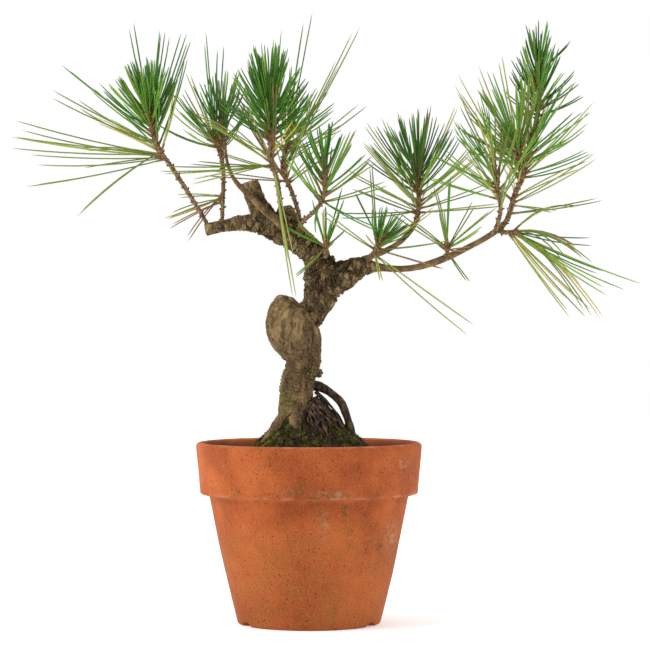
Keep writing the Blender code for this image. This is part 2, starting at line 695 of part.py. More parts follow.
def grow_needles():
    """The needles of every mass: the furthest first, then the sprays, skipping any that touch."""
    space = taken_by_limbs()
    paths = {name: mass_paths(mass) for name, mass in MASSES.items()}
    for name, twigs in paths.items():
        for path, radii in twigs:
            space.add(path, radii, name)
    kept = {name: [] for name in MASSES}
    for rule in (tip_needles, spray_needles):
        for name, mass in MASSES.items():
            for root, reach, bend in rule(mass, paths[name]):
                curve = needle_curve(root, reach, bend, (0.0, NEEDLE_BEND_AT, 1.0))
                start = curve[0] + 0.04 * (curve[1] - curve[0])
                if space.free([start, *curve[1:]], name):
                    kept[name].append(curve)
                    space.add(curve, [NEEDLE_RADIUS] * 3, name)
    return paths, kept


def needle_mesh(curve, turn):
    """A three-sided needle: a small root ring, a full ring at its bend, and a point."""
    points = []
    for k, radius in ((0, NEEDLE_ROOT_RADIUS), (1, NEEDLE_RADIUS)):
        ahead = unit(curve[k + 1] - curve[0])
        side = unit(np.cross(ahead, (0.17, 0.31, 0.93)))
        up = np.cross(ahead, side)
        for j in range(3):
            angle = turn + 2 * math.pi * j / 3
            points.append(curve[k] + radius * (math.cos(angle) * side + math.sin(angle) * up))
    points.append(curve[2])
    faces = [(0, 1, 2), (0, 1, 4, 3), (1, 2, 5, 4), (2, 0, 3, 5), (3, 4, 6), (4, 5, 6), (5, 3, 6)]
    return points, faces


def make_mass(name, twigs, needles, material):
    """A stem, its side twigs and its needles, joined into one solid."""
    mass = MASSES[name]
    path, radii = twigs[0]
    body = new_object(name, *tube_mesh(path, radii, 5), material)
    for limb in mass["clear_of"]:
        clear_of(body, limb)
    keep_one_body(body)
    parts = bpy.data.collections.new(name + "_parts")
    bpy.context.scene.collection.children.link(parts)
    shapes = [tube_mesh(p, r, 5) for p, r in twigs[1:]]
    shapes += [needle_mesh(curve, 0.7 * i) for i, curve in enumerate(needles)]
    for points, faces in shapes:
        shape = new_object("shape", points, faces)
        bpy.context.scene.collection.objects.unlink(shape)
        parts.objects.link(shape)
    apply_boolean(body, "UNION", collection=parts)
    for shape in list(parts.objects):
        remove(shape)
    bpy.data.collections.remove(parts)
    keep_one_body(body)
    return body


def main():
    for obj in list(bpy.data.objects):
        bpy.data.objects.remove(obj)
    terracotta = principled("terracotta", (0.50, 0.19, 0.09), 0.85)
    earth = principled("earth", (0.07, 0.045, 0.03), 1.0)
    moss = principled("moss", (0.10, 0.14, 0.03), 1.0)
    bark = principled("bark", (0.20, 0.14, 0.09), 0.9)
    green = principled("needle green", (0.10, 0.24, 0.05), 0.6)

    nodes = [make_pot(terracotta), make_soil(earth), make_trunk(bark)]
    nodes += [make_limb(name, bark) for name in LIMBS]
    cut_level(bpy.data.objects["aerial_root"], SOIL_LEVEL + GAP)
    mound = make_mound(moss)
    clear_of(mound, "trunk", "MANIFOLD")
    clear_of(mound, "aerial_root", "MANIFOLD")
    keep_one_body(mound)
    nodes.append(mound)
    paths, kept = grow_needles()
    nodes += [make_mass(name, paths[name], kept[name], green) for name in MASSES]
    print("needles:", {name: len(needles) for name, needles in kept.items()})

    stand = bpy.data.objects.new("plant", None)
    bpy.context.scene.collection.objects.link(stand)
    stand.location = Vector((-MM * MIDDLE_OF_PLANT[0], -MM * MIDDLE_OF_PLANT[1], 0))
    for node in nodes:
        node.parent = stand
        node.data.shade_smooth()
        node.data.set_sharp_from_angle(angle=math.radians(35))


main()
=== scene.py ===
import math
import random

import bpy
import numpy as np
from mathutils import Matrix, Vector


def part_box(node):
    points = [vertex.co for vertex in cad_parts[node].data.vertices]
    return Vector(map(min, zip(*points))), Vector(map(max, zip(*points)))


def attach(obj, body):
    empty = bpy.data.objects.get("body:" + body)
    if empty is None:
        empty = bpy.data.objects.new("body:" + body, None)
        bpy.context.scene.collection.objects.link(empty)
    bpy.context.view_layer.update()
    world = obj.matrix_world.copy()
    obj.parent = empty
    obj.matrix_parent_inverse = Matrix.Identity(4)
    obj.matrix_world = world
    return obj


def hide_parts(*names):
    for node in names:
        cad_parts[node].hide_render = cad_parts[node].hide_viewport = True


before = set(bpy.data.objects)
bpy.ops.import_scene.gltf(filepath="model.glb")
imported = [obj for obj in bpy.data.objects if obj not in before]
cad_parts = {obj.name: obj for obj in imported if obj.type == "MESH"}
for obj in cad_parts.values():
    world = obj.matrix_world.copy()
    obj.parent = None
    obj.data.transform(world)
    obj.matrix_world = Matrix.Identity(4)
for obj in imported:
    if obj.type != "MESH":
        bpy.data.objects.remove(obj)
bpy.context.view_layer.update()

# Paths and sizes are in millimetres about the pot's own axis: x right, y away, z up.
mm = 0.001
goldenAngle = math.pi * (3 - math.sqrt(5))
potLow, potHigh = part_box("pot")
potAxis = np.array([(potLow.x + potHigh.x) / 2, (potLow.y + potHigh.y) / 2, 0])
# Directions that no stem or needle runs along, for the cross products that set its sides.
aside = {"tube": (0.31, 0.95, 0.11), "spray": (0.2, 0.9, 0.3), "blade": (0.17, 0.31, 0.93)}


def unit(vectors):
    return vectors / np.maximum(np.linalg.norm(vectors, axis=-1, keepdims=True), 1e-9)


def ease(low, high, value):
    # 0 under low, 1 over high, a smooth step between
    t = np.clip((value - low) / (high - low), 0, 1)
    return t * t * (3 - 2 * t)


def between(ends, share):
    return ends[0] + share * (ends[1] - ends[0])


def hashed(cell, seed):
    # a repeatable number from 0 to 1 for each whole-numbered cell
    key = (cell[..., 0] * 73856093) ^ (cell[..., 1] * 19349663) ^ (cell[..., 2] * 83492791)
    key = (key ^ (seed * 374761393)) & 0xffffffff
    key = ((key ^ (key >> 15)) * 2246822519) & 0xffffffff
    key = ((key ^ (key >> 13)) * 3266489917) & 0xffffffff
    return (key ^ (key >> 16)) / 4294967295.0


def softNoise(points, size, seed=0):
    # the eight corners of each point's cell, blended with eased weights
    scaled = points / size
    base = np.floor(scaled).astype(np.int64)
    part = scaled - base
    part = part * part * (3 - 2 * part)
    total = np.zeros(len(points))
    for corner in range(8):
        offset = np.array([corner & 1, corner >> 1 & 1, corner >> 2 & 1])
        weight = np.prod(np.where(offset == 1, part, 1 - part), axis=1)
        total += weight * hashed(base + offset, seed)
    return total


def layeredNoise(points, size, seed=0, layers=4):
    # soft noise at halving sizes and weights, from -1 to 1
    total, weight = np.zeros(len(points)), 0.0
    for layer in range(layers):
        total += (2 * softNoise(points, size / 2 ** layer, seed + layer) - 1) / 2 ** layer
        weight += 1 / 2 ** layer
    return total / weight


def cellNoise(points, size, seed=0):
    # how much nearer the nearest scattered centre is than the second, and its owner's number
    scaled = points / size
    base = np.floor(scaled).astype(np.int64)
    first, second = np.full(len(points), 9.0), np.full(len(points), 9.0)
    owner = np.zeros(len(points))
    for step in range(27):
        cell = base + np.array([step % 3 - 1, step // 3 % 3 - 1, step // 9 - 1])
        centre = cell + np.stack([hashed(cell, seed + k) for k in (11, 12, 13)], axis=1)
        distance = np.linalg.norm(scaled - centre, axis=1)
        nearer = distance < first
        second = np.where(nearer, first, np.minimum(second, distance))
        owner = np.where(nearer, hashed(cell, seed + 14), owner)
        first = np.where(nearer, distance, first)
    return second - first, owner


def smoothPath(points, radii, steps):
    # a Catmull-Rom curve through the points, with the radii carried along it
    rows = np.column_stack([np.array(points, float), radii])
    ends = np.vstack([2 * rows[0] - rows[1], rows, 2 * rows[-1] - rows[-2]])
    t = (np.arange(steps) / steps)[None, :, None]
    before, here = ends[:-3, None], ends[1:-2, None]
    there, after = ends[2:-1, None], ends[3:, None]
    curve = 0.5 * (2 * here + (there - before) * t
                   + (2 * before - 5 * here + 4 * there - after) * t * t
                   + (3 * here - before - 3 * there + after) * t ** 3)
    curve = np.vstack([curve.reshape(-1, 4), rows[-1:]])
    return curve[:, :3], curve[:, 3]


def gridFaces(rows, columns):
    # quads between neighbouring rows of points, each row closed into a ring
    across = np.arange(columns)
    row = np.arange(rows - 1)[:, None]
    a = row * columns + across
    b = row * columns + (across + 1) % columns
    return np.stack([a, b, b + columns, a + columns], axis=-1).reshape(-1, 4)


def repeated(faces, copies, step):
    # the same faces for every copy of a shape with that many points
    return (faces[None] + step * np.arange(copies)[:, None, None]).reshape(-1, faces.shape[1])


def circle(count):
    # evenly spaced angles, once round
    return 2 * np.pi * np.arange(count) / count


def sidesOf(ahead, lean):
    # two directions square to the way ahead and to each other
    side = unit(np.cross(ahead, lean))
    return side, np.cross(ahead, side)


def ringsRound(centre, side, up, wide, turn):
    # centre + wide (cos turn side + sin turn up), for every centre and every angle
    return centre[..., None, :] + wide[..., None] * (np.cos(turn)[..., None] * side[..., None, :]
                                                     + np.sin(turn)[..., None] * up[..., None, :])


def tube(path, radii, sides):
    # rings carried along a path; the radii are one for each ring or one for each point
    path, radii = np.asarray(path, float), np.asarray(radii, float)
    side, up = sidesOf(unit(np.gradient(path, axis=0)), aside["tube"])
    wide = radii[:, None] if radii.ndim == 1 else radii
    rings = ringsRound(path, side, up, wide, circle(sides))
    points = np.vstack([rings.reshape(-1, 3), path[:1], path[-1:]])
    count = len(path) * sides
    top = count - sides
    here = np.arange(sides)
    after = (here + 1) % sides
    foot = np.stack([after, here, np.full(sides, count)], axis=1)
    head = np.stack([top + here, top + after, np.full(sides, count + 1)], axis=1)
    return points, [gridFaces(len(path), sides), foot, head]


def joined(shapes):
    # several (points, faces) as one
    points, faces, start = [], [], 0
    for shapePoints, shapeFaces in shapes:
        points.append(shapePoints)
        faces += [f + start for f in shapeFaces]
        start += len(shapePoints)
    return np.vstack(points), faces


def newPiece(name, shape, material, scale=mm, home=True):
    # an object from points in millimetres, placed about the pot's axis in its mesh
    points, faces = shape
    mesh = bpy.data.meshes.new(name)
    mesh.vertices.add(len(points))
    placed = points * scale + (potAxis if home else 0)
    mesh.vertices.foreach_set("co", placed.astype(np.float32).ravel())
    corners = np.concatenate([f.ravel() for f in faces])
    sizes = np.concatenate([np.full(len(f), f.shape[1]) for f in faces])
    mesh.loops.add(len(corners))
    mesh.loops.foreach_set("vertex_index", corners.astype(np.int32))
    mesh.polygons.add(len(sizes))
    mesh.polygons.foreach_set("loop_start", (np.cumsum(sizes) - sizes).astype(np.int32))
    mesh.update(calc_edges=True)
    mesh.validate()
    mesh.shade_smooth()
    if material:
        mesh.materials.append(material)
    piece = bpy.data.objects.new(name, mesh)
    bpy.context.scene.collection.objects.link(piece)
    return piece


def addValues(piece, name, values):
    # one number for each point, which the material reads
    attribute = piece.data.attributes.new(name, "FLOAT", "POINT")
    attribute.data.foreach_set("value", values.astype(np.float32))


def countTriangles(piece):
    return sum(len(p.vertices) - 2 for p in piece.data.polygons)


def tint(red, green, blue):
    # a colour as a painter names it, 0 to 255, turned into light values
    parts = [c / 255 for c in (red, green, blue)]
    return tuple(c / 12.92 if c <= 0.04045 else ((c + 0.055) / 1.055) ** 2.4 for c in parts) + (1,)


def addNode(tree, kind, settings, wires):
    # a node with its settings, and its sockets wired up or set to constants
    made = tree.nodes.new(kind)
    for key, value in settings.items():
        setattr(made, key, value)
    for key, value in wires.items():
        if isinstance(value, bpy.types.NodeSocket):
            tree.links.new(value, made.inputs[key])
        else:
            made.inputs[key].default_value = value
    return made


class Paint:
    # a material whose nodes are laid down one call at a time, with sizes in millimetres
    def __init__(self, name, roughness, specular):
        self.material = bpy.data.materials.new(name)
        self.material.use_nodes = True
        self.tree = self.material.node_tree
        self.shader = self.tree.nodes["Principled BSDF"]
        self.shader.inputs["Roughness"].default_value = roughness
        self.shader.inputs["Specular IOR Level"].default_value = specular
        self.place = self.tree.nodes.new("ShaderNodeTexCoord").outputs["Object"]

    def node(self, kind, wires, **settings):
        return addNode(self.tree, kind, settings, wires)

    def stretched(self, scale, turn=(0, 0, 0)):
        wires = {"Vector": self.place, "Scale": scale, "Rotation": turn}
        return self.node("ShaderNodeMapping", wires).outputs["Vector"]

    def noise(self, size, detail, rough, vector=None, output="Fac"):
        # size is that of the largest patches
        wires = {"Vector": vector or self.place, "Scale": 1000 / size, "Detail": detail,
                 "Roughness": rough}
        return self.node("ShaderNodeTexNoise", wires).outputs[output]

    def cells(self, size, vector=None, feature="F1", output="Distance"):
        wires = {"Vector": vector or self.place, "Scale": 1000 / size}
        return self.node("ShaderNodeTexVoronoi", wires, feature=feature).outputs[output]

    def value(self, name):
        return self.node("ShaderNodeAttribute", {}, attribute_name=name).outputs["Fac"]

    def span(self, value, low, high, first=0.0, last=1.0):
        wires = {"Value": value, "From Min": low, "From Max": high, "To Min": first,
                 "To Max": last}
        return self.node("ShaderNodeMapRange", wires).outputs["Result"]

    def patches(self, noise, low, high, last=1.0):
        # noise of a size, detail and roughness, sharpened between two levels
        return self.span(self.noise(*noise), low, high, 0.0, last)

    def shades(self, value, stops):
        # from one colour to the next as the value rises
        ramp = self.node("ShaderNodeValToRGB", {"Fac": value})
        while len(ramp.color_ramp.elements) < len(stops):
            ramp.color_ramp.elements.new(0.5)
        for element, (at, colour) in zip(ramp.color_ramp.elements, stops):
            element.position = at
            element.color = tint(*colour)
        return ramp.outputs["Color"]

    def over(self, amount, below, above, blend="MIX"):
        wires = {0: amount, 6: below, 7: above}
        return self.node("ShaderNodeMix", wires, data_type="RGBA", blend_type=blend).outputs[2]

    def times(self, *amounts):
        product = amounts[0]
        for amount in amounts[1:]:
            made = self.node("ShaderNodeMath", {0: product, 1: amount}, operation="MULTIPLY")
            product = made.outputs["Value"]
        return product

    def layer(self, below, colour, *amounts):
        # a colour laid over what is below, by the product of the amounts
        return self.over(self.times(*amounts), below, tint(*colour))

    def bump(self, height, depth, under=None):
        wires = {"Height": height, "Distance": depth * mm, "Strength": 1.0}
        if under:
            wires["Normal"] = under
        return self.node("ShaderNodeBump", wires).outputs["Normal"]

    def finish(self, colour, normal):
        self.tree.links.new(colour, self.shader.inputs["Base Color"])
        self.tree.links.new(normal, self.shader.inputs["Normal"])
        return self.material


clay = {
    "clouds": [(0.34, (140, 64, 24)), (0.50, (166, 80, 34)), (0.66, (184, 96, 46))],
    "lowWall": (150, 90, 38), "pale": (200, 120, 68), "deep": (104, 50, 22),
    "specks": (58, 34, 18), "lime": (190, 156, 118), "algae": (74, 68, 30),
    # the second colour on the next line is painted shade for the pot's inner wall under the lip
    "worn": (190, 120, 86), "paintedInnerShade": (88, 46, 24),
}


def terracottaPaint():
    # clouded orange clay with dark specks, pits, lime and green algae, and painted shade on the
    # inner wall under the lip
    paint = Paint("agedTerracotta", 0.82, 0.25)
    colour = paint.shades(paint.noise(38, 5, 0.6), clay["clouds"])
    brown = paint.layer(colour, clay["lowWall"], 0.75)
    low = paint.times(paint.value("lowWall"), paint.patches((16, 5, 0.7), 0.32, 0.66))
    colour = paint.over(low, colour, brown)
    fine = paint.noise(1.2, 5, 0.8)
    colour = paint.layer(colour, clay["pale"], paint.span(fine, 0.48, 0.68, 0.0, 0.45))
    colour = paint.layer(colour, clay["deep"], paint.span(fine, 0.48, 0.32, 0.0, 0.5))
    specks = paint.span(paint.cells(2.6), 0.14, 0.24, 1, 0)
    keep = paint.patches((7, 3, 0.6), 0.49, 0.54)
    colour = paint.layer(colour, clay["specks"], specks, keep, 0.85)
    crust = paint.patches((3.4, 5, 0.7), 0.42, 0.62)
    colour = paint.layer(colour, clay["lime"], paint.value("lime"), crust)
    slime = paint.patches((2.8, 5, 0.75), 0.44, 0.60)
    colour = paint.layer(colour, clay["algae"], paint.value("algae"), slime)
    # pale rubbed edges, then painted shade that darkens the inner wall under the lip
    for name in ("worn", "paintedInnerShade"):
        colour = paint.layer(colour, clay[name], paint.value(name))
    pits = paint.span(paint.cells(1.4), 0.0, 0.34)
    skin = paint.bump(paint.noise(1.1, 4, 0.7), 0.16)
    return paint.finish(colour, paint.bump(pits, 0.18, skin))


pine = {
    "smooth": [(0.36, (84, 64, 42)), (0.50, (112, 88, 60)), (0.64, (144, 116, 82))],
    "flaky": [(0.38, (62, 47, 29)), (0.50, (112, 90, 56)), (0.63, (164, 138, 92))],
    "flake": 1000 / 330, "wander": (1000 / 420, 3, 0.5), "bend": 0.0022,
    "paleFlake": (190, 164, 116), "darkFlake": (54, 42, 26), "seam": (30, 22, 14),
    # the fold colour is painted shade for the grooves of the burl's wrinkles
    "paleFleck": (182, 156, 112), "darkFleck": (46, 36, 22), "shadedFold": (44, 33, 20),
    # the crack colour is partly the fissures' own dark bark and partly painted shade
    "speckle": (62, 54, 30), "crack": (26, 19, 12), "moss": (92, 104, 30),
}


def barkPaint():
    # flaky tan plates over cracks that are dark partly in their own colour and partly as painted
    # shade, painted shade in the burl's wrinkles and deep crease, smoother where the wood swells,
    # green with moss
    paint = Paint("pineBark", 0.88, 0.2)
    long = paint.stretched((1, 1, 0.5))
    tones = paint.noise(9, 5, 0.6, long)
    colour = paint.over(paint.value("dark"), paint.shades(tones, pine["smooth"]),
                        paint.shades(tones, pine["flaky"]))
    sway = paint.noise(*pine["wander"], long, "Color")
    wander = paint.over(pine["bend"], long, sway, "ADD")
    rough = paint.value("rough")
    flake = paint.cells(pine["flake"], wander, output="Color")
    tone = paint.node("ShaderNodeSeparateColor", {"Color": flake}).outputs[0]
    seam = paint.cells(pine["flake"], wander, "DISTANCE_TO_EDGE")
    for name, value in (("paleFlake", paint.span(tone, 0.45, 1.0, 0.0, 0.75)),
                        ("darkFlake", paint.span(tone, 0.4, 0.0, 0.0, 0.55)),
                        ("seam", paint.span(seam, 0.14, 0.02, 0.0, 0.7))):
        colour = paint.layer(colour, pine[name], rough, value)
    flecks = paint.noise(1.3, 5, 0.75)
    colour = paint.layer(colour, pine["paleFleck"], paint.span(flecks, 0.5, 0.70, 0.0, 0.55))
    colour = paint.layer(colour, pine["darkFleck"], paint.span(flecks, 0.46, 0.32, 0.0, 0.6))
    # painted shade along the slanting wrinkle grooves on the burl, which the bump also cuts in
    lines = paint.noise(2.4, 3, 0.6, paint.stretched((1, 1, 0.16), (0, 0.95, 0)))
    shadedFold = paint.times(paint.value("wrinkle"), paint.span(lines, 0.46, 0.38, 0.0, 0.75))
    colour = paint.layer(colour, pine["shadedFold"], shadedFold)
    colour = paint.layer(colour, pine["speckle"], paint.patches((2.6, 4, 0.75), 0.56, 0.66, 0.55))
    # partly painted shade: the dark colour in the fissures and in the deep crease
    colour = paint.layer(colour, pine["crack"], paint.value("crack"), 0.65)
    colour = paint.layer(colour, pine["moss"], paint.value("moss"),
                         paint.patches((1.8, 4, 0.7), 0.36, 0.56))
    grain = paint.bump(paint.noise(0.9, 5, 0.7, long), 0.25)
    grain = paint.bump(shadedFold, -0.5, grain)
    flaky = paint.bump(paint.times(rough, paint.span(seam, 0.0, 0.3)), 0.7, grain)
    return paint.finish(colour, paint.bump(paint.noise(3.2, 4, 0.6, long), 0.5, flaky))


# Plain stuffs: one noise (size, detail, roughness) gives both the colour and the bumps.
stuffs = {
    "darkRoot": {
        "surface": (0.75, 0.3), "noise": (2.4, 5, 0.65), "stretch": 0.25, "depth": 0.4,
        "shades": [(0.36, (30, 21, 16)), (0.52, (66, 48, 35)), (0.68, (128, 102, 76))]},
    "oldSoil": {
        "surface": (0.95, 0.15), "noise": (3.0, 5, 0.7), "stretch": 1, "depth": 0.8,
        "shades": [(0.3, (30, 22, 17)), (0.52, (62, 48, 36)), (0.74, (112, 90, 66))]},
    "scalyTwig": {
        "surface": (0.85, 0.2), "noise": (1.6, 5, 0.7), "stretch": 1, "depth": 0.35,
        "shades": [(0.36, (62, 44, 28)), (0.5, (124, 98, 66)), (0.64, (184, 158, 118))]},
    "paperySheath": {
        "surface": (0.8, 0.2), "noise": (1.2, 4, 0.7), "stretch": 1, "depth": 0.15,
        "shades": [(0.3, (92, 68, 40)), (0.55, (140, 112, 70)), (0.75, (184, 160, 112))]},
    "budScales": {
        "surface": (0.7, 0.3), "noise": (1.4, 4, 0.65), "stretch": 1, "depth": 0.2,
        "shades": [(0.3, (74, 44, 30)), (0.52, (126, 84, 56)), (0.74, (190, 158, 124))]},
}
mossLook = {"shades": [(0.38, (44, 48, 14)), (0.5, (86, 94, 28)), (0.62, (160, 158, 66))],
            "gaps": (54, 40, 28)}


def stuffPaint(name):
    look = stuffs[name]
    paint = Paint(name, *look["surface"])
    noise = paint.noise(*look["noise"], paint.stretched((1, 1, look["stretch"])))
    return paint.finish(paint.shades(noise, look["shades"]), paint.bump(noise, look["depth"]))


def mossPaint():
    # olive tufts with brown gaps and a finer bump
    paint = Paint("moss", 0.95, 0.15)
    colour = paint.shades(paint.noise(5.0, 5, 0.65), mossLook["shades"])
    colour = paint.layer(colour, mossLook["gaps"], paint.patches((9, 4, 0.7), 0.52, 0.62))
    return paint.finish(colour, paint.bump(paint.noise(0.9, 4, 0.75), 0.8))


def plainPaint(name, colour, roughness):
    # one plain colour, which is dealt out by spray
    paint = Paint(name, roughness, 0.4)
    paint.shader.inputs["Base Color"].default_value = colour
    return paint.material


pot = {
    "height": 120.0, "rimRadius": 75.0, "lip": 5.2, "bandHeight": 34.0, "bandFoot": 72.3,
    "bodyTop": 65.7, "base": 47.6, "wall": 6.0, "floor": 8.0, "drain": 11.0, "belly": 0.9,
    "notchWidth": 11.0, "notchHeight": 3.0, "notchAngles": (-150, -30, 90),
    "around": 288, "wallSteps": 46, "insideSteps": 26,
}
# Places on the pot's front, in millimetres across and up, with a width, a height and a strength.
algaeSpots = [
    (-24, 113, 2.5, 2, 0.9), (-45, 91, 3, 3, 0.9), (-8, 91, 7, 3, 0.85), (-5, 96, 3, 4, 0.5),
    (16, 89, 13, 2, 0.7), (6, 83, 5, 1.5, 1.0), (24, 78, 3, 8, 0.9), (26, 64, 3, 8, 0.6),
    (8, 76, 3, 8, 0.5), (42, 84, 12, 1.2, 0.6), (-30, 84, 16, 1.0, 0.6), (46, 54, 2, 5, 0.8),
    (16, 14, 2.5, 3, 0.9), (-55, 84, 8, 1.2, 0.6)]
limeSpots = [(14, 89, 11, 2.5, 0.8), (62, 108, 3, 3, 0.6), (-14, 92, 7, 2, 0.25),
             (54, 60, 4, 9, 0.5), (10, 70, 5, 10, 0.25)]


def innerRadius(height):
    # the pot's inside: steep under the band, then flaring to the lip
    shoulder = pot["height"] - pot["bandHeight"]
    shoulderRadius = pot["bodyTop"] - pot["wall"]
    floorRadius = pot["base"] - pot["wall"]
    low = floorRadius + (height - pot["floor"]) / (shoulder - pot["floor"]) \
        * (shoulderRadius - floorRadius)
    high = shoulderRadius + (height - shoulder) / pot["bandHeight"] \
        * (pot["rimRadius"] - pot["lip"] - shoulderRadius)
    return np.where(height < shoulder, low, high)


def bow(centre, radius, start, end, steps):
    # points on part of a circle, from one angle in degrees to another
    angles = np.radians(np.linspace(start, end, steps))
    return np.column_stack([centre[0] + radius * np.cos(angles),
                            centre[1] + radius * np.sin(angles)])


def straight(a, b, steps):
    # points on a straight line, both ends included
    t = np.linspace(0, 1, steps)[:, None]
    return np.array(a) * (1 - t) + np.array(b) * t


def potOutline():
    # from the drain hole out under the foot, up wall and band, over the lip and down inside
    high, lip, step = pot["height"], pot["lip"] / 2, pot["height"] - pot["bandHeight"]
    drain, floor, base, body = (pot[key] for key in ("drain", "floor", "base", "bodyTop"))
    rim, foot = pot["rimRadius"], pot["bandFoot"]
    side = straight((base, 1.2), (body, step - 3.0), pot["wallSteps"])
    side[:, 0] += pot["belly"] * np.sin(np.linspace(0, np.pi, pot["wallSteps"]))
    inside = np.linspace(high - lip - 1, floor + 3, pot["insideSteps"])
    return np.vstack([
        straight((drain, floor), (drain, 0.0), 4),
        straight((drain + 1, 0.0), (base - 1.6, 0.0), 12),
        [[base - 0.5, 0.35]], side,
        [[body + 0.5, step - 1.8], [body + 1.8, step - 0.4]],
        bow((foot - 1.5, step + 1.3), 1.5, -80, 0, 5),
        straight((foot, step + 2.2), (rim, high - lip - 0.6), 20),
        bow((rim - lip, high - lip), lip, 5, 178, 14),
        np.column_stack([innerRadius(inside), inside]),
        [[innerRadius(floor) - 3, floor]],
        straight((innerRadius(floor) - 6, floor), (drain + 1, floor), 8),
    ])


def makePot():
    # the outline turned about the axis, its wall a little uneven, its foot cut by low arches
    outline, count = potOutline(), pot["around"]
    turn = circle(count)
    radius, height = outline[:, :1] + 0 * turn, outline[:, 1:] + 0 * turn
    ring = np.stack([radius * np.cos(turn), radius * np.sin(turn), height], axis=-1)
    ring = ring.reshape(-1, 3)
    x, y, height = ring.T
    uneven = 0.35 * layeredNoise(ring, 30, 3, 3) + 0.10 * layeredNoise(ring, 4, 7, 3)
    outer = (height > 0.5) & (np.hypot(x, y) > pot["base"] - 1)
    radius, angle = np.hypot(x, y) + np.where(outer, uneven, 0), np.arctan2(y, x)
    footInside = pot["base"] - 2 * pot["wall"]
    for notch in pot["notchAngles"]:
        away = (angle - math.radians(notch) + np.pi) % (2 * np.pi) - np.pi
        across = np.clip(np.abs(away) * pot["base"] / (pot["notchWidth"] / 2), 0, 1)
        arch = pot["notchHeight"] * np.sqrt(1 - across ** 2)
        cut = arch * ease(footInside - 4, footInside, radius)
        height = np.where((height < cut) & (radius > 20), cut, height)
    points = np.column_stack([radius * np.cos(angle), radius * np.sin(angle), height])
    closing = gridFaces(2, count)  # the last row joins the first
    closing[:, 2:] -= count
    closing[:, :2] += (len(outline) - 1) * count
    piece = newPiece("terracottaPot", (points, [gridFaces(len(outline), count), closing]),
                     terracottaPaint())
    inner = radius < innerRadius(height) + 1.5
    addValues(piece, "worn", wornEdges(points, radius))
    addValues(piece, "lowWall", ease(82, 40, height))
    # painted shade: the inner wall darkened from just under the lip downwards
    addValues(piece, "paintedInnerShade", 0.75 * inner * ease(118.5, 116, height))
    addValues(piece, "algae", spotted(points, algaeSpots))
    addValues(piece, "lime", spotted(points, limeSpots))
    return piece


def spotted(points, spots):
    # soft oval patches on the front half, and the same patches turned round the back
    total = np.zeros(len(points))
    for x, z, wide, tall, strength in spots:
        away = ((points[:, 0] - x) / wide) ** 2 + ((points[:, 2] - z) / tall) ** 2
        behind = ((points[:, 0] + x) / wide) ** 2 + ((points[:, 2] - z) / tall) ** 2
        total = np.maximum(total, strength * np.exp(-np.where(points[:, 1] < 0, away, behind)))
    return total


def wornEdges(points, radius):
    # the lip and the band's lower edge, where the skin is rubbed paler
    lip = ease(pot["height"] - 1.6, pot["height"] - 0.1, points[:, 2])
    step = pot["height"] - pot["bandHeight"]
    edge = np.exp(-((points[:, 2] - step - 0.8) / 1.0) ** 2) * (radius > pot["bodyTop"] + 4)
    rub = ease(-0.2, 0.5, layeredNoise(points, 7, 21, 3))
    return 0.75 * np.maximum(lip, edge) * rub


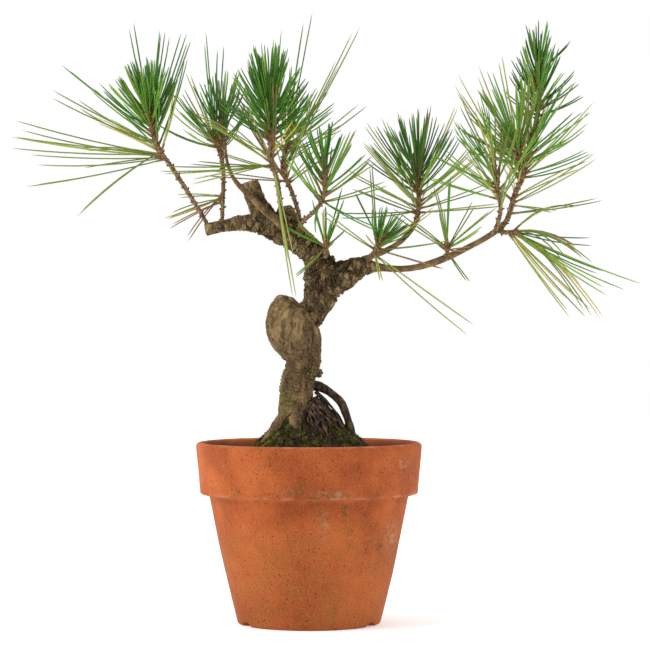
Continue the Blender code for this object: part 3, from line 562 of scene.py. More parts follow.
# Each part of the wood: its path, its radii, how rough and how dark its bark is.
wood = {
    "lowerTrunk": {
        "path": [(-8, 0, 106), (-8, 0, 113), (-8, 0, 128), (-8.5, 0, 145), (-8.2, 0, 158),
                 (-5.6, -1, 167), (-3.6, -3, 176), (-6.6, -6, 185), (-10.6, -8, 193.5),
                 (-12, -8, 202), (-12, -7, 209), (-9, -6, 213.5)],
        "radii": [16, 15, 12.8, 11.8, 11.2, 10.8, 12.0, 15.6, 17.4, 17.2, 13.5, 7.5],
        "rough": [0.6, 0.6, 0.55, 0.55, 0.6, 0.6, 0.45, 0.3, 0.25, 0.35, 0.8, 1.0],
        "dark": [0.5, 0.5, 0.5, 0.5, 0.5, 0.6, 0.5, 0.4, 0.4, 0.5, 0.8, 1.0]},
    "upperTrunk": {
        "path": [(-5.5, 0, 196), (2, 4, 206.5), (7, 6, 216), (9, 6, 226.5), (8, 5, 236),
                 (6.5, 4.5, 244), (8, 4.5, 250)],
        "radii": [10, 10.6, 11.0, 12.6, 11.2, 9.0, 5.5],
        "rough": [0.7, 0.8, 0.9, 1.0, 1.0, 1.0, 0.8],
        "dark": [0.5, 0.4, 0.35, 0.4, 0.5, 0.6, 0.6]},
    "leftRoot": {
        "path": [(-9, -3, 150), (-14, -5, 140), (-21, -7, 128), (-29, -9, 117), (-33, -10, 110)],
        "radii": [5.0, 5.4, 5.0, 4.4, 4.0], "rough": 0.3, "dark": 0.15},
    "thinLeftRoot": {
        "path": [(-16, 2, 134), (-25, 3, 124), (-34, 3, 116), (-39, 3, 109)],
        "radii": [3.0, 2.6, 2.2, 2.0], "rough": 0.25, "dark": 1.0},
    "frontRoot": {
        "path": [(-8, -8, 142), (-8, -14, 133), (-7.5, -18, 122), (-7, -20, 109)],
        "radii": [4.6, 5.0, 4.6, 4.4], "rough": 0.3, "dark": 0.3},
    "backRoot": {
        "path": [(-6, 6, 148), (-2, 14, 134), (2, 22, 121), (4, 27, 109)],
        "radii": [5.0, 5.6, 4.6, 4.0], "rough": 0.3, "dark": 0.4},
    "waistKnob": {"path": [(-2, -3, 170), (4, -4, 167), (8.5, -4, 164.5)],
                  "radii": [4.6, 4.2, 2.4], "rough": 0.6, "dark": 0.5},
    "cutKnob": {"path": [(-8.5, -4, 158), (-9, -11, 157.5), (-9, -13.5, 157.3)],
                "radii": [3.6, 3.2, 2.6], "rough": 0.3, "dark": 0.5},
    "leftBough": {
        "path": [(9, 5, 235), (3, 4, 245), (-4, 3, 252), (-14, 2, 259), (-24, 1, 263.5),
                 (-36, 0, 265.5), (-47, -1, 265.5), (-58, -2, 263.5), (-69, -3, 261)],
        "radii": [8, 8.6, 8.8, 9.8, 9.4, 6.2, 4.8, 4.2, 4.5],
        "rough": [1, 1, 1, 1.1, 1.1, 1, 0.8, 0.7, 0.7],
        "dark": [0.7, 0.8, 0.9, 1, 1, 0.9, 0.8, 0.7, 0.7]},
    "sawnStub": {"path": [(-26, 3, 262), (-30, 5, 270), (-34.5, 6, 278), (-40, 6.5, 293)],
                 "radii": [8.8, 8.2, 6.8, 6.3], "rough": 0.8, "dark": 0.8},
    "prunedKnob": {"path": [(-14, 3, 262), (-15, 4, 270), (-16.5, 4, 277)],
                   "radii": [7.4, 7.2, 4.6], "rough": 0.9, "dark": 0.9},
    "frontLimb": {
        "path": [(-13, -5, 259), (-22, -11, 267), (-32, -13.5, 276), (-41, -12, 285),
                 (-47, -9, 291), (-51, -6, 297), (-54.5, -5, 307), (-56, -5, 321)],
        "radii": [2.6, 2.5, 2.4, 2.1, 1.7, 1.3, 1.15, 1.1], "rough": 0.15, "dark": 0.3},
    "rightBough": {
        "path": [(9, 4, 230), (19, 3, 229), (27, 2, 233), (36, 0, 236.5), (48, -1, 236),
                 (61, -2, 235), (75, -3, 237), (90, -4, 242), (104, -4, 248.5),
                 (117, -4, 255.5), (129, -4, 263.5)],
        "radii": [10, 10.8, 9.2, 6.4, 2.9, 2.3, 2.2, 2.3, 2.0, 2.0, 2.0],
        "rough": [1, 1, 1, 0.9, 0.3, 0.2, 0.2, 0.25, 0.2, 0.2, 0.2],
        "dark": [0.7, 0.7, 0.7, 0.7, 0.4, 0.2, 0.1, 0.15, 0.2, 0.2, 0.2]},
    "innerRightBough": {
        "path": [(33, 2, 240), (41, 8, 243.5), (50, 15, 247), (60, 21, 253), (68, 25, 261),
                 (74, 27, 271)],
        "radii": [2.4, 2.2, 2.0, 1.9, 1.8, 1.8], "rough": 0.2, "dark": 0.3},
}
bark = {"voxel": 0.62, "cut": 110.6, "plate": 6.4, "relief": 1.3, "reach": 2.6, "thick": 11,
        "block": 8000}


def woodSamples():
    # centre, radius, direction, roughness and darkness at many places along every part
    rows = []
    for part in wood.values():
        count = len(part["path"])
        extra = [np.broadcast_to(part[key], count).astype(float) for key in ("rough", "dark")]
        path, radii = smoothPath(part["path"], part["radii"], 4)
        at = np.linspace(0, count - 1, len(path))
        rough, dark = (np.interp(at, np.arange(count), e) for e in extra)
        rows.append(np.column_stack([path, radii, unit(np.gradient(path, axis=0)), rough, dark]))
    return np.vstack(rows)


def woodShape():
    # one closed tube along every part, overlapping where they meet
    shapes = []
    for part in wood.values():
        path, radii = smoothPath(part["path"], part["radii"], 6)
        shapes.append(tube(path, radii, 28))
    return joined(shapes)


def remeshed(shape, voxel):
    # one closed skin round shapes that overlap
    core = newPiece("woodCore", shape, None, 1.0, False)
    skin = core.modifiers.new("skin", "REMESH")
    skin.mode = "VOXEL"
    skin.voxel_size = voxel
    graph = bpy.context.evaluated_depsgraph_get()
    mesh = bpy.data.meshes.new_from_object(core.evaluated_get(graph))
    read = []
    for rows, key, kind, width in ((mesh.vertices, "co", np.float32, 3),
                                   (mesh.vertices, "normal", np.float32, 3),
                                   (mesh.loops, "vertex_index", np.int32, 1)):
        read.append(np.zeros(len(rows) * width, kind))
        rows.foreach_get(key, read[-1])
    bpy.data.objects.remove(core)
    bpy.data.meshes.remove(mesh)
    points, normals, corners = read
    return (points.reshape(-1, 3).astype(float), normals.reshape(-1, 3).astype(float),
            corners.reshape(-1, 4))


def fromSurface(points, samples):
    # how far each point is outside each sample's surface, one block of points at a time
    for block in np.array_split(points, max(1, len(points) // bark["block"])):
        yield np.linalg.norm(block[:, None] - samples[None, :, :3], axis=2) - samples[:, 3]


def blended(points, samples, reach):
    # the samples' values at each point, weighted by how near their surface is
    out = []
    for distance in fromSurface(points, samples):
        weight = np.exp(-(distance - distance.min(axis=1, keepdims=True)) / reach)
        out.append(weight @ samples[:, 3:] / weight.sum(axis=1, keepdims=True))
    return np.vstack(out)


def makeBark():
    # the skin moved out and in by plates, cracks, lumps and wrinkles, which are all noise
    points, normals, quads = remeshed(woodShape(), bark["voxel"])
    values = blended(points, woodSamples(), bark["reach"])
    radius, ahead, rough, dark = values[:, 0], unit(values[:, 1:4]), values[:, 4], values[:, 5]
    # the pattern is drawn out along the wood, so the plates are longer than wide
    along = np.einsum("ij,ij->i", points, ahead)[:, None]
    drawn = points - 0.5 * along * ahead + 1.4 * np.column_stack(
        [layeredNoise(points, 6, 31 + k, 3) for k in range(3)])
    plate = np.clip(radius / bark["thick"], 0.35, 1)
    edge, owner = cellNoise(drawn, bark["plate"], 41)
    edgeFine, _ = cellNoise(drawn, bark["plate"] * 0.4, 43)
    broken = ease(-0.35, 0.25, layeredNoise(points, 8, 45, 3))
    crack = (1 - ease(0.03, 0.22, edge)) * broken
    crackFine = (1 - ease(0.02, 0.22, edgeFine)) * (1 - 0.6 * broken)
    plates = -crack + 0.55 * (owner - 0.5)
    shadedFold = creases(points)
    relief = rough * plate * bark["relief"] * plates - 0.4 * rough * plate * crackFine
    relief += 0.5 * rough * plate * layeredNoise(drawn, 3.2, 55, 2)
    relief += (0.2 + 2.3 * rough) * plate * layeredNoise(drawn, 10, 51, 5)
    relief += wrinkles(points) - 2.4 * shadedFold
    moved = points + relief[:, None] * normals
    moved[:, 2] = np.maximum(moved[:, 2], bark["cut"])
    piece = newPiece("barkSkin", (moved, [quads]), barkPaint())
    # the fissures' darkness, partly their own colour and partly painted shade
    crackDarkAndShade = np.clip(crack * rough * 1.1 + 0.5 * crackFine * rough, 0, 1)
    x, _, z = points.T
    burl = ease(166, 174, z) * ease(214, 206, z) * ease(6, 2, x)
    # painted shade: the deep crease darkened with the crack colour
    addValues(piece, "crack", np.clip(crackDarkAndShade + 0.6 * shadedFold, 0, 1))
    addValues(piece, "dark", np.clip(dark + 0.35 * layeredNoise(points, 8, 61, 3), 0, 1))
    addValues(piece, "rough", ease(0.2, 0.9, rough))
    addValues(piece, "wrinkle", burl * ease(-0.5, 0.2, layeredNoise(points, 16, 95, 2)))
    addValues(piece, "moss", mossOn(points))
    return piece


def wrinkles(points):
    # sine folds that slant low on the burl, and level sine cracks round the waist
    x, y, z = points.T
    burl = np.exp(-((z - 180) / 9) ** 2)
    waist = np.exp(-((z - 162) / 9) ** 2) * ease(24, 16, np.hypot(x + 6, y + 1))
    wave = 1.2 * layeredNoise(points, 12, 71, 3)
    folds = np.sin((z + 0.55 * x + 0.4 * y) * 1.9 + 3 * wave)
    levels = np.sin((z + 0.2 * x) * 2.6 + 4 * wave)
    depth = np.abs(layeredNoise(points, 9, 73, 2))
    return 0.3 * burl * folds * depth * 2 + 0.45 * waist * levels


def creases(points):
    # the deep fold on a slanting line, from the burl's top down its right side, which the bark's
    # colour darkens as painted shade
    x, y, z = points.T
    line = x + 2.5 + 0.62 * (z - 212)
    return np.exp(-(line / 1.7) ** 2) * ease(194, 199, z) * ease(219, 214, z) * (y < 6)


def mossOn(points):
    # green low on the roots and in a patch on the trunk's left, broken up by noise
    x, _, z = points.T
    low = ease(128, 114, z) * 0.8
    left = np.exp(-((z - 148) / 9) ** 2) * ease(-9, -17, x)
    return np.clip(np.maximum(low, left) * ease(-0.5, 0.3, layeredNoise(points, 7, 81, 3)), 0, 1)


darkRootPath = {
    "path": [(-1, 3, 158), (6, 3, 157), (13, 3, 153.5), (21, 2, 146.5), (25, 1, 137),
             (28, 0, 127), (30, 0, 118), (30.5, 0, 111.3)],
    "radii": [3.6, 3.4, 2.6, 2.7, 2.6, 2.7, 2.9, 3.0], "sides": 22}
ground = {"level": 111.0, "centre": (0.5, 0.0), "radius": 41.0, "height": 35.0, "around": 240,
          "grains": 2600, "tufts": 7000, "roots": 34, "joints": 9, "seed": 5}


def makeDarkRoot():
    # a tube pushed out and in by noise
    path, radii = smoothPath(darkRootPath["path"], darkRootPath["radii"], 14)
    points, faces = tube(path, radii, darkRootPath["sides"])
    bent = 0.4 * layeredNoise(points, 5, 91, 3) + 0.12 * layeredNoise(points, 1.2, 93, 2)
    centre = np.vstack([np.repeat(path, darkRootPath["sides"], axis=0), path[:1], path[-1:]])
    points = points + bent[:, None] * unit(points - centre + 1e-9)
    return newPiece("darkRoot", (points, faces), stuffPaint("darkRoot"))


def moundHeight(x, y):
    # a dome that falls as its share of the edge to the power 1.25, with lumps
    east, north = x - ground["centre"][0], y - ground["centre"][1]
    turn = np.arctan2(north, east)
    edge = ground["radius"] * (1 + 0.07 * np.sin(2 * turn + 1) + 0.05 * np.sin(5 * turn))
    share = np.hypot(east, north) / edge
    flat = np.column_stack([x, y, 0 * x])
    lumps = 1.6 * layeredNoise(flat, 9, 101, 4) + 0.5 * layeredNoise(flat, 2.2, 103, 2)
    rise = ground["height"] * np.clip(1 - share ** 1.25, 0, 1)
    return ground["level"] + rise + lumps * np.clip(1.3 - share, 0.3, 1)


def makeGround():
    # rings at the mound's height out to the pot's wall, with a skirt under the last
    count = ground["around"]
    wall = innerRadius(ground["level"]) - 0.4
    radii = np.concatenate([np.linspace(1, 44, 90), np.linspace(45, wall, 34)])
    turn = circle(count)
    x = (radii[:, None] * np.cos(turn) + ground["centre"][0]).ravel()
    y = (radii[:, None] * np.sin(turn)).ravel()
    points = np.column_stack([x, y, moundHeight(x, y)])
    skirt = points[-count:] - (0, 0, 22)
    middle = np.array([[ground["centre"][0], 0, points[:count, 2].mean()]])
    points = np.vstack([points, skirt, middle, middle - (0, 0, 50)])
    here, rows = np.arange(count), len(radii) + 1
    after, last = (here + 1) % count, (rows - 1) * count
    cap = np.stack([np.full(count, rows * count), here, after], axis=1)
    under = np.stack([last + after, last + here, np.full(count, rows * count + 1)], axis=1)
    faces = [gridFaces(rows, count)[:, ::-1], cap, under]
    return newPiece("pottingSoil", (points, faces), stuffPaint("oldSoil"))


def scatter(rng, count, low, high):
    # places spread evenly over the ground between two radii
    angle = rng.uniform(0, 2 * np.pi, count)
    away = np.sqrt(rng.uniform((low / high) ** 2, 1, count)) * high
    x, y = ground["centre"][0] + away * np.cos(angle), away * np.sin(angle)
    return np.column_stack([x, y, moundHeight(x, y)])


def makeGrains():
    # crumbs: eight-faced stones of uneven size
    rng = np.random.default_rng(ground["seed"])
    centre = scatter(rng, ground["grains"], 16, innerRadius(ground["level"]) - 2.5)
    size = rng.uniform(0.5, 1.7, (len(centre), 1, 1)) * rng.uniform(0.7, 1.3, (len(centre), 6, 1))
    corners = np.array([(1, 0, 0), (0, 1, 0), (-1, 0, 0), (0, -1, 0), (0, 0, 0.8), (0, 0, -0.8)])
    points = centre[:, None] + size * corners
    eight = np.array([(0, 1, 4), (1, 2, 4), (2, 3, 4), (3, 0, 4),
                      (1, 0, 5), (2, 1, 5), (3, 2, 5), (0, 3, 5)])
    faces = [repeated(eight, len(centre), 6)]
    return newPiece("soilGrains", (points.reshape(-1, 3), faces), stuffPaint("oldSoil"))


def makeMoss():
    # short leaning blades of three faces, thickest in patches
    rng = np.random.default_rng(ground["seed"] + 1)
    root = scatter(rng, ground["tufts"] * 2, 6, 40)
    patch = layeredNoise(root * (1, 1, 0), 12, 111, 2)
    root = root[patch > -0.3][:ground["tufts"]]
    lean = np.column_stack([rng.normal(0, 0.5, (len(root), 2)), np.ones(len(root))])
    tip = root + unit(lean) * rng.uniform(1.0, 2.6, (len(root), 1))
    turn = rng.uniform(0, 2 * np.pi, (len(root), 1)) + circle(3)
    foot = root[:, None] + 0.42 * np.stack([np.cos(turn), np.sin(turn), 0 * turn - 0.8], axis=-1)
    points = np.concatenate([foot, tip[:, None]], axis=1)
    blade = np.array([(0, 1, 3), (1, 2, 3), (2, 0, 3), (2, 1, 0)])
    faces = [repeated(blade, len(root), 4)]
    return newPiece("mossTufts", (points.reshape(-1, 3), faces), mossPaint())


def makeFineRoots():
    # thin tubes that wander from the trunk's foot down over the mound
    rng = random.Random(ground["seed"] + 2)
    shapes, joints = [], ground["joints"]
    for i in range(ground["roots"]):
        start = math.radians(rng.uniform(-75, 30) if i % 3 else rng.uniform(0, 360))
        turn = start + np.cumsum([rng.uniform(-0.16, 0.16) for _ in range(joints)])
        away = np.linspace(rng.uniform(7, 12), rng.uniform(24, 40), joints)
        x, y = ground["centre"][0] - 4 + away * np.cos(turn), away * np.sin(turn)
        lift = np.linspace(rng.uniform(2, 9), 0.1, joints) * (away < 26)
        points = np.column_stack([x, y, moundHeight(x, y) + lift + 0.3])
        path, radii = smoothPath(points, np.linspace(rng.uniform(0.6, 1.3), 0.35, joints), 6)
        shapes.append(tube(path, radii, 7))
    return newPiece("fineRoots", joined(shapes), stuffPaint("darkRoot"))


needle = {
    "width": {"young": 0.58, "mixed": 0.56, "old": 0.55},
    "fuller": {"young": 1.35, "mixed": 1.1, "old": 0.9},
    "wider": {"young": 9, "mixed": 6, "old": 0},
    "rise": {"young": 0.16, "mixed": 0.10, "old": 0.0},  # how far each bends in to the shoot
    "open": (3.0, 9.0),  # degrees between the two of a pair, least and most
    "lean": (-7, 7), "length": (0.93, 1.03),  # how far each strays from its spray's rule
    "sag": ((-0.05, 0.05), (-0.05, 0.05), (-0.09, 0.03)),
    "tipBend": (0.0, 0.0, 0.07),  # the furthest needles rise a little and level out
    "rings": [0, 0.04, 0.14, 0.32, 0.5, 0.68, 0.83, 0.94],
    "girth": [0.75, 0.85, 0.96, 1, 1, 0.98, 0.9, 0.62],
    "clear": 0.8, "roughness": 0.5, "dryRoughness": 0.62,
}
sheath = {"at": [-0.5, 1.2, 4.0, 6.5], "girth": [0.75, 1.0, 0.85, 0.62], "sides": 5}
needleKinds = {
    "youngDark": tint(60, 108, 20), "youngMid": tint(84, 140, 32),
    "youngLight": tint(130, 170, 54),
    "oldGreen": tint(118, 140, 44), "oldPale": tint(160, 172, 76), "oldYellow": tint(192, 174, 74),
    "dryBrown": tint(150, 112, 66),
}
dealtOut = {
    "young": [("youngDark", 0.46), ("youngMid", 0.40), ("youngLight", 0.14)],
    "mixed": [("youngMid", 0.40), ("youngLight", 0.20), ("oldGreen", 0.30), ("oldPale", 0.10)],
    "old": [("oldGreen", 0.50), ("oldPale", 0.34), ("oldYellow", 0.10), ("dryBrown", 0.06)],
}


def spray(age, on, span, count, length, spread, aim=None, bend=(0, 0, 0)):
    # pairs along a span of path "on" (0 is the stem), leaning out by the spread in degrees
    return {"age": age, "on": on, "span": span, "count": round(count * needle["fuller"][age]),
            "length": length, "spread": spread, "aim": aim, "bend": np.array(bend, float)}


# Each tuft: its stem's and side twigs' paths and radii, its sprays, and where its furthest
# needles end ("tips"), each with its place along the stem.
tufts = {
    "needles_left_outer": {
        "seed": 11, "radii": (1.5, 1.9),
        "paths": [[(-66, -3, 262), (-76, -6, 279), (-90, -10, 301), (-99, -13, 314),
                   (-104, -15, 329), (-107, -16, 346)]],
        "sprays": [
            spray("young", 0, (0.8, 1.0), 34, (26, 40), (52, 10)),
            spray("mixed", 0, (0.62, 0.78), 10, (46, 66), (56, 30)),
            spray("old", 0, (0.58, 0.64), 5, (56, 76), (14, 50), aim=(-1, 0, 0.2),
                  bend=(0, 0, -0.06))],
        "tips": [(0.6, (-193, -24, 332)), (0.59, (-199, -4, 323)), (0.61, (-194, -34, 313)),
                 (0.58, (-188, 14, 312)), (0.57, (-187, -14, 289)), (0.7, (-166, -44, 350)),
                 (0.76, (-166, 8, 372)), (0.8, (-116, -10, 398)), (0.84, (-97, -34, 390)),
                 (0.82, (-96, 4, 394)), (0.78, (-80, -24, 389)), (0.74, (-79, 12, 389))]},
    "needles_left_inner": {
        "seed": 12, "radii": (1.4, 1.7),
        "paths": [[(-58, -1, 265), (-57.5, 4, 281), (-57.5, 11, 301), (-60, 16, 314),
                   (-65, 19, 324)],
                  [(-58, 12, 305), (-59, 18, 322), (-59, 20, 343)]],
        "sprays": [
            spray("young", 1, (0.3, 1.0), 16, (28, 40), (52, 14)),
            spray("mixed", 0, (0.86, 1.0), 12, (34, 50), (60, 16), bend=(0, 0, 0.12)),
            spray("old", 0, (0.24, 0.34), 4, (32, 42), (10, 40), aim=(-1, 0.2, -0.2),
                  bend=(0, 0, -0.1))],
        "tips": [(0.95, (-70, 28, 396)), (0.9, (-57, 8, 385)), (0.85, (-48, 40, 369)),
                 (0.3, (-97, 6, 269))]},
    "needles_centre_front": {
        "seed": 13, "radii": (1.6, 2.1),
        "paths": [[(-18, 3, 270), (-19.5, 2, 282), (-21.5, -2, 295), (-24.5, -6, 305),
                   (-25.5, -8, 317), (-26, -10, 333), (-26, -12, 353)]],
        "sprays": [
            spray("young", 0, (0.6, 1.0), 60, (30, 43), (58, 12)),
            spray("old", 0, (0.4, 0.52), 7, (46, 62), (20, 70), bend=(0, 0, 0.06)),
            spray("old", 0, (0.4, 0.46), 4, (56, 70), (14, 40), aim=(-1, 0, 0.0),
                  bend=(0, 0, 0.04))],
        "tips": [(0.55, (-18, -20, 392)), (0.42, (-98, -34, 298)), (0.42, (-98, -8, 295)),
                 (0.38, (-8, -34, 215)), (0.4, (-13, -42, 239))]},
    "needles_centre_back": {
        "seed": 14, "radii": (1.5, 1.8),
        "paths": [[(-6, 9, 258), (-7, 16, 272), (-12, 24, 288), (-18, 31, 303), (-16, 37, 318),
                   (-12, 42, 333)]],
        "sprays": [
            spray("mixed", 0, (0.72, 1.0), 24, (30, 46), (56, 14)),
            spray("old", 0, (0.45, 0.62), 9, (56, 76), (70, 40), bend=(0, 0, 0.08))],
        "tips": [(0.8, (2, 50, 412.5)), (0.62, (35, 66, 404)), (0.7, (18, 32, 377)),
                 (0.66, (40, 58, 349)), (0.5, (17, 98, 340)), (0.5, (-30, 112, 344))]},
    "needles_centre_right": {
        "seed": 15, "radii": (1.4, 1.7),
        "paths": [[(-7, -3, 260), (-4, -12, 266), (4, -19, 273), (9, -26, 280), (10.5, -29, 289),
                   (10, -31, 305)]],
        "sprays": [
            spray("young", 0, (0.7, 1.0), 16, (24, 34), (46, 12)),
            spray("mixed", 0, (0.5, 0.64), 8, (40, 58), (70, 34))],
        "tips": [(0.7, (31, -56, 324)), (0.62, (44, -64, 302)), (0.55, (-2, -88, 300))]},
    "needles_fork": {
        "seed": 16, "radii": (1.7, 1.5),
        "paths": [[(11, -4, 243), (11.5, -9, 247), (11, -14, 252)]],
        "sprays": [
            spray("mixed", 0, (0.6, 1.0), 9, (18, 34), (56, 10), aim=(0, -0.5, 1))],
        "tips": [(0.8, (22, -30, 288)), (0.8, (-15, -36, 262)), (0.7, (-9, -38, 230))]},
    "needles_right_inner": {
        "seed": 17, "radii": (1.7, 1.9),
        "paths": [[(72, 26.4, 267), (74, 27.5, 279), (73.5, 28, 292), (72.5, 28, 307)]],
        "sprays": [
            spray("young", 0, (0.45, 1.0), 32, (34, 50), (58, 12)),
            spray("old", 0, (0.14, 0.36), 12, (52, 68), (86, 44), bend=(0, 0, 0.06))],
        "tips": [(0.5, (38, 12, 334)), (0.5, (49, 46, 340)), (0.6, (74, 42, 346)),
                 (0.6, (82, 14, 346)), (0.5, (101, 36, 346)), (0.2, (16, 14, 273)),
                 (0.3, (84, 102, 300)), (0.3, (50, 98, 312))]},
    "needles_right_small": {
        "seed": 18, "radii": (1.5, 1.8),
        "paths": [[(39, -1, 240), (42, -8, 244.5), (45, -12, 249), (48, -14, 255)]],
        "sprays": [
            spray("young", 0, (0.7, 1.0), 12, (18, 30), (50, 14)),
            spray("old", 0, (0.5, 0.7), 7, (44, 62), (86, 56), bend=(0, 0, 0.06))],
        "tips": [(0.9, (30, -34, 284)), (0.6, (93, -34, 253)), (0.45, (104, -30, 191))]},
    "needles_right_node": {
        "seed": 19, "radii": (1.6, 1.4),
        "paths": [[(91, -4, 242), (91.5, -8, 246), (91, -12, 250)]],
        "sprays": [
            spray("old", 0, (0.6, 1.0), 8, (34, 54), (80, 24), aim=(0.1, -0.4, 1))],
        "tips": [(0.9, (93, -24, 296)), (0.8, (113, -40, 262)), (0.6, (106, -20, 226))]},
    "needles_right_outer": {
        "seed": 20, "radii": (2.0, 1.8),
        "paths": [[(127, -4, 262), (132, -4, 269), (136.5, -2, 284), (142, 1, 296),
                   (146.5, 4, 311), (150.5, 6, 328), (153.5, 7, 347), (153, 8, 371)],
                  [(141.5, 0, 295), (140, -8, 306), (137, -14, 320)]],
        "sprays": [
            spray("young", 0, (0.7, 1.0), 36, (24, 35), (52, 10)),
            spray("mixed", 0, (0.32, 0.58), 22, (42, 60), (56, 26)),
            spray("mixed", 1, (0.3, 1.0), 30, (38, 54), (58, 14)),
            spray("old", 0, (0.14, 0.26), 6, (48, 66), (76, 46))],
        "tips": [(0.3, (97, -36, 361)), (0.34, (112, -12, 369)), (0.32, (99, 16, 354)),
                 (0.97, (144, 0, 398)), (0.98, (154, 16, 403)), (0.98, (158, -6, 400)),
                 (0.96, (176, 18, 389)), (0.34, (187, -20, 344)), (0.16, (193, 26, 314)),
                 (0.1, (194, -14, 280))]},
    "needles_right_low": {
        "seed": 21, "radii": (1.5, 1.6),
        "paths": [[(121, -5, 257), (124, -12, 263), (126, -19, 275), (122.5, -26, 292),
                   (121, -29, 305)]],
        "sprays": [
            spray("mixed", 0, (0.5, 1.0), 20, (36, 56), (60, 12), aim=(-0.35, -0.2, 1))],
        "tips": [(0.6, (93, -54, 330)), (0.5, (100, -76, 308)), (0.4, (128, -96, 296))]},
    "needles_right_droop": {
        "seed": 22, "radii": (1.9, 1.6),
        "paths": [[(125.5, -4, 260.5), (130, -9.5, 259), (137, -12.5, 259.5)]],
        "sprays": [
            spray("old", 0, (0.5, 1.0), 9, (50, 72), (8, 50), aim=(1, 0, 0.1),
                  bend=(0, 0, -0.45))],
        "tips": [(0.9, (220, -10, 225)), (0.8, (198, 20, 234)), (0.8, (194, -36, 217)),
                 (0.7, (174, -52, 214)), (0.7, (185, 8, 203)), (0.6, (171, -22, 203)),
                 (0.9, (191, 34, 257))]},
}


def along(path, share):
    # the point and the direction at a share of a path's length
    steps = np.linalg.norm(np.diff(path, axis=0), axis=1)
    reach = np.concatenate([[0.0], np.cumsum(steps)])
    at = share * reach[-1]
    i = int(min(np.searchsorted(reach, at, side="right") - 1, len(steps) - 1))
    rest = (at - reach[i]) / steps[i]
    return path[i] + rest * (path[i + 1] - path[i]), unit(path[i + 1] - path[i])


def pick(rng, age):
    # a kind of needle, dealt by the shares of its age
    chance = rng.random()
    for kind, share in dealtOut[age]:
        chance -= share
        if chance <= 0:
            return kind
    return dealtOut[age][0][0]


def tuftNeedles(tuft):
    # (kind, age, root, reach, bend) of each needle, pairs turned by the golden angle
    rng = random.Random(tuft["seed"])
    paths = [np.array(path, float) for path in tuft["paths"]]
    for share, tip in tuft["tips"]:
        root, _ = along(paths[0], share)
        whole = np.array(tip, float) - root
        bend = np.linalg.norm(whole) * np.array(needle["tipBend"])
        yield from pair(rng, "young" if share > 0.7 else "old", root, whole - bend, bend)
    for part in tuft["sprays"]:
        age, count, (short, long) = part["age"], part["count"], part["length"]
        turn = rng.uniform(0, 2 * math.pi)
        for i in range(count):
            share = (i + 0.5) / count
            root, ahead = along(paths[part["on"]], between(part["span"], share))
            ahead = unit(np.array(part["aim"], float)) if part["aim"] else ahead
            side, up = sidesOf(ahead, aside["spray"])
            turn += goldenAngle
            lean = math.radians(between(part["spread"], share) + rng.uniform(*needle["lean"])
                                + needle["wider"][age])
            out = math.cos(turn) * side + math.sin(turn) * up
            middle = between((long, short), share if age == "young" else rng.random())
            length = middle * rng.uniform(*needle["length"])
            reach = length * (math.cos(lean) * ahead + math.sin(lean) * out)
            sag = np.array([rng.uniform(*limits) for limits in needle["sag"]])
            inward = needle["rise"][age] * (ahead - 0.6 * out)
            yield from pair(rng, age, root, reach, length * (part["bend"] + inward + sag))


def pair(rng, age, root, reach, bend):
    # one needle on its mark, and a second that leans away from it and is a little shorter
    kind = pick(rng, age)
    length = np.linalg.norm(reach)
    sway = unit(np.cross(reach, (rng.uniform(-1, 1), rng.uniform(-1, 1), 0.4)))
    opening = math.tan(math.radians(rng.uniform(*needle["open"])))
    yield kind, age, root, reach, bend
    second = (reach + sway * opening * length) * rng.uniform(0.9, 0.99)
    yield kind, age, root, second, bend - 0.35 * opening * length * sway


def needleShapes(root, reach, bend, girth, turn):
    # three-sided blades: rings of three points on root + reach s + bend s squared, and a tip
    at = np.array(needle["rings"])[None, :, None]
    centre = root[:, None] + reach[:, None] * at + bend[:, None] * at ** 2
    side, up = sidesOf(unit(reach[:, None] + 2 * bend[:, None] * at), aside["blade"])
    wide = girth[:, None, None] * np.array(needle["girth"])[None, :, None]
    ring = ringsRound(centre, side, up, wide, (turn[:, None] + circle(3))[:, None])
    tip = (root + reach + bend)[:, None]
    points = np.concatenate([ring.reshape(len(root), -1, 3), tip], axis=1)
    rings = len(needle["rings"])
    top, end = (rings - 1) * 3, rings * 3
    ends = np.array([(top, top + 1, end), (top + 1, top + 2, end), (top + 2, top, end), (2, 1, 0)])
    return points.reshape(-1, 3), [repeated(faces, len(root), points.shape[1])
                                   for faces in (gridFaces(rings, 3), ends)]


def makeNeedles():
    # every tuft's needles, those that would cut into the wood left out, in one piece a kind
    kept = {kind: [] for kind in needleKinds}
    used = {kind: set() for kind in needleKinds}
    sheaths, pieces, samples = [], [], woodSamples()
    shares = np.linspace(0.15, 1, 9)[None, :, None]
    for name, tuft in tufts.items():
        grown = list(tuftNeedles(tuft))
        root, reach, bend = (np.array([one[k] for one in grown]) for k in (2, 3, 4))
        curve = root[:, None] + reach[:, None] * shares + bend[:, None] * shares ** 2
        blocks = fromSurface(curve.reshape(-1, 3), samples)
        clear = np.concatenate([distance.min(axis=1) for distance in blocks])
        clear = clear.reshape(len(grown), -1).min(axis=1) > needle["clear"]
        for i in np.flatnonzero(clear):
            kind, age = grown[i][:2]
            kept[kind].append((*root[i], *reach[i], *bend[i], needle["width"][age], 0.7 * i))
            used[kind].add(name)
            if i % 2 == 0:
                sheaths.append((*root[i], *reach[i]))
    for kind, rows in kept.items():
        rows = np.array(rows)
        shape = needleShapes(rows[:, :3], rows[:, 3:6], rows[:, 6:9], rows[:, 9], rows[:, 10])
        roughness = needle["dryRoughness" if kind == "dryBrown" else "roughness"]
        paint = plainPaint(kind, needleKinds[kind], roughness)
        pieces.append((newPiece("needles_" + kind, shape, paint), sorted(used[kind])))
    return pieces, np.array(sheaths)


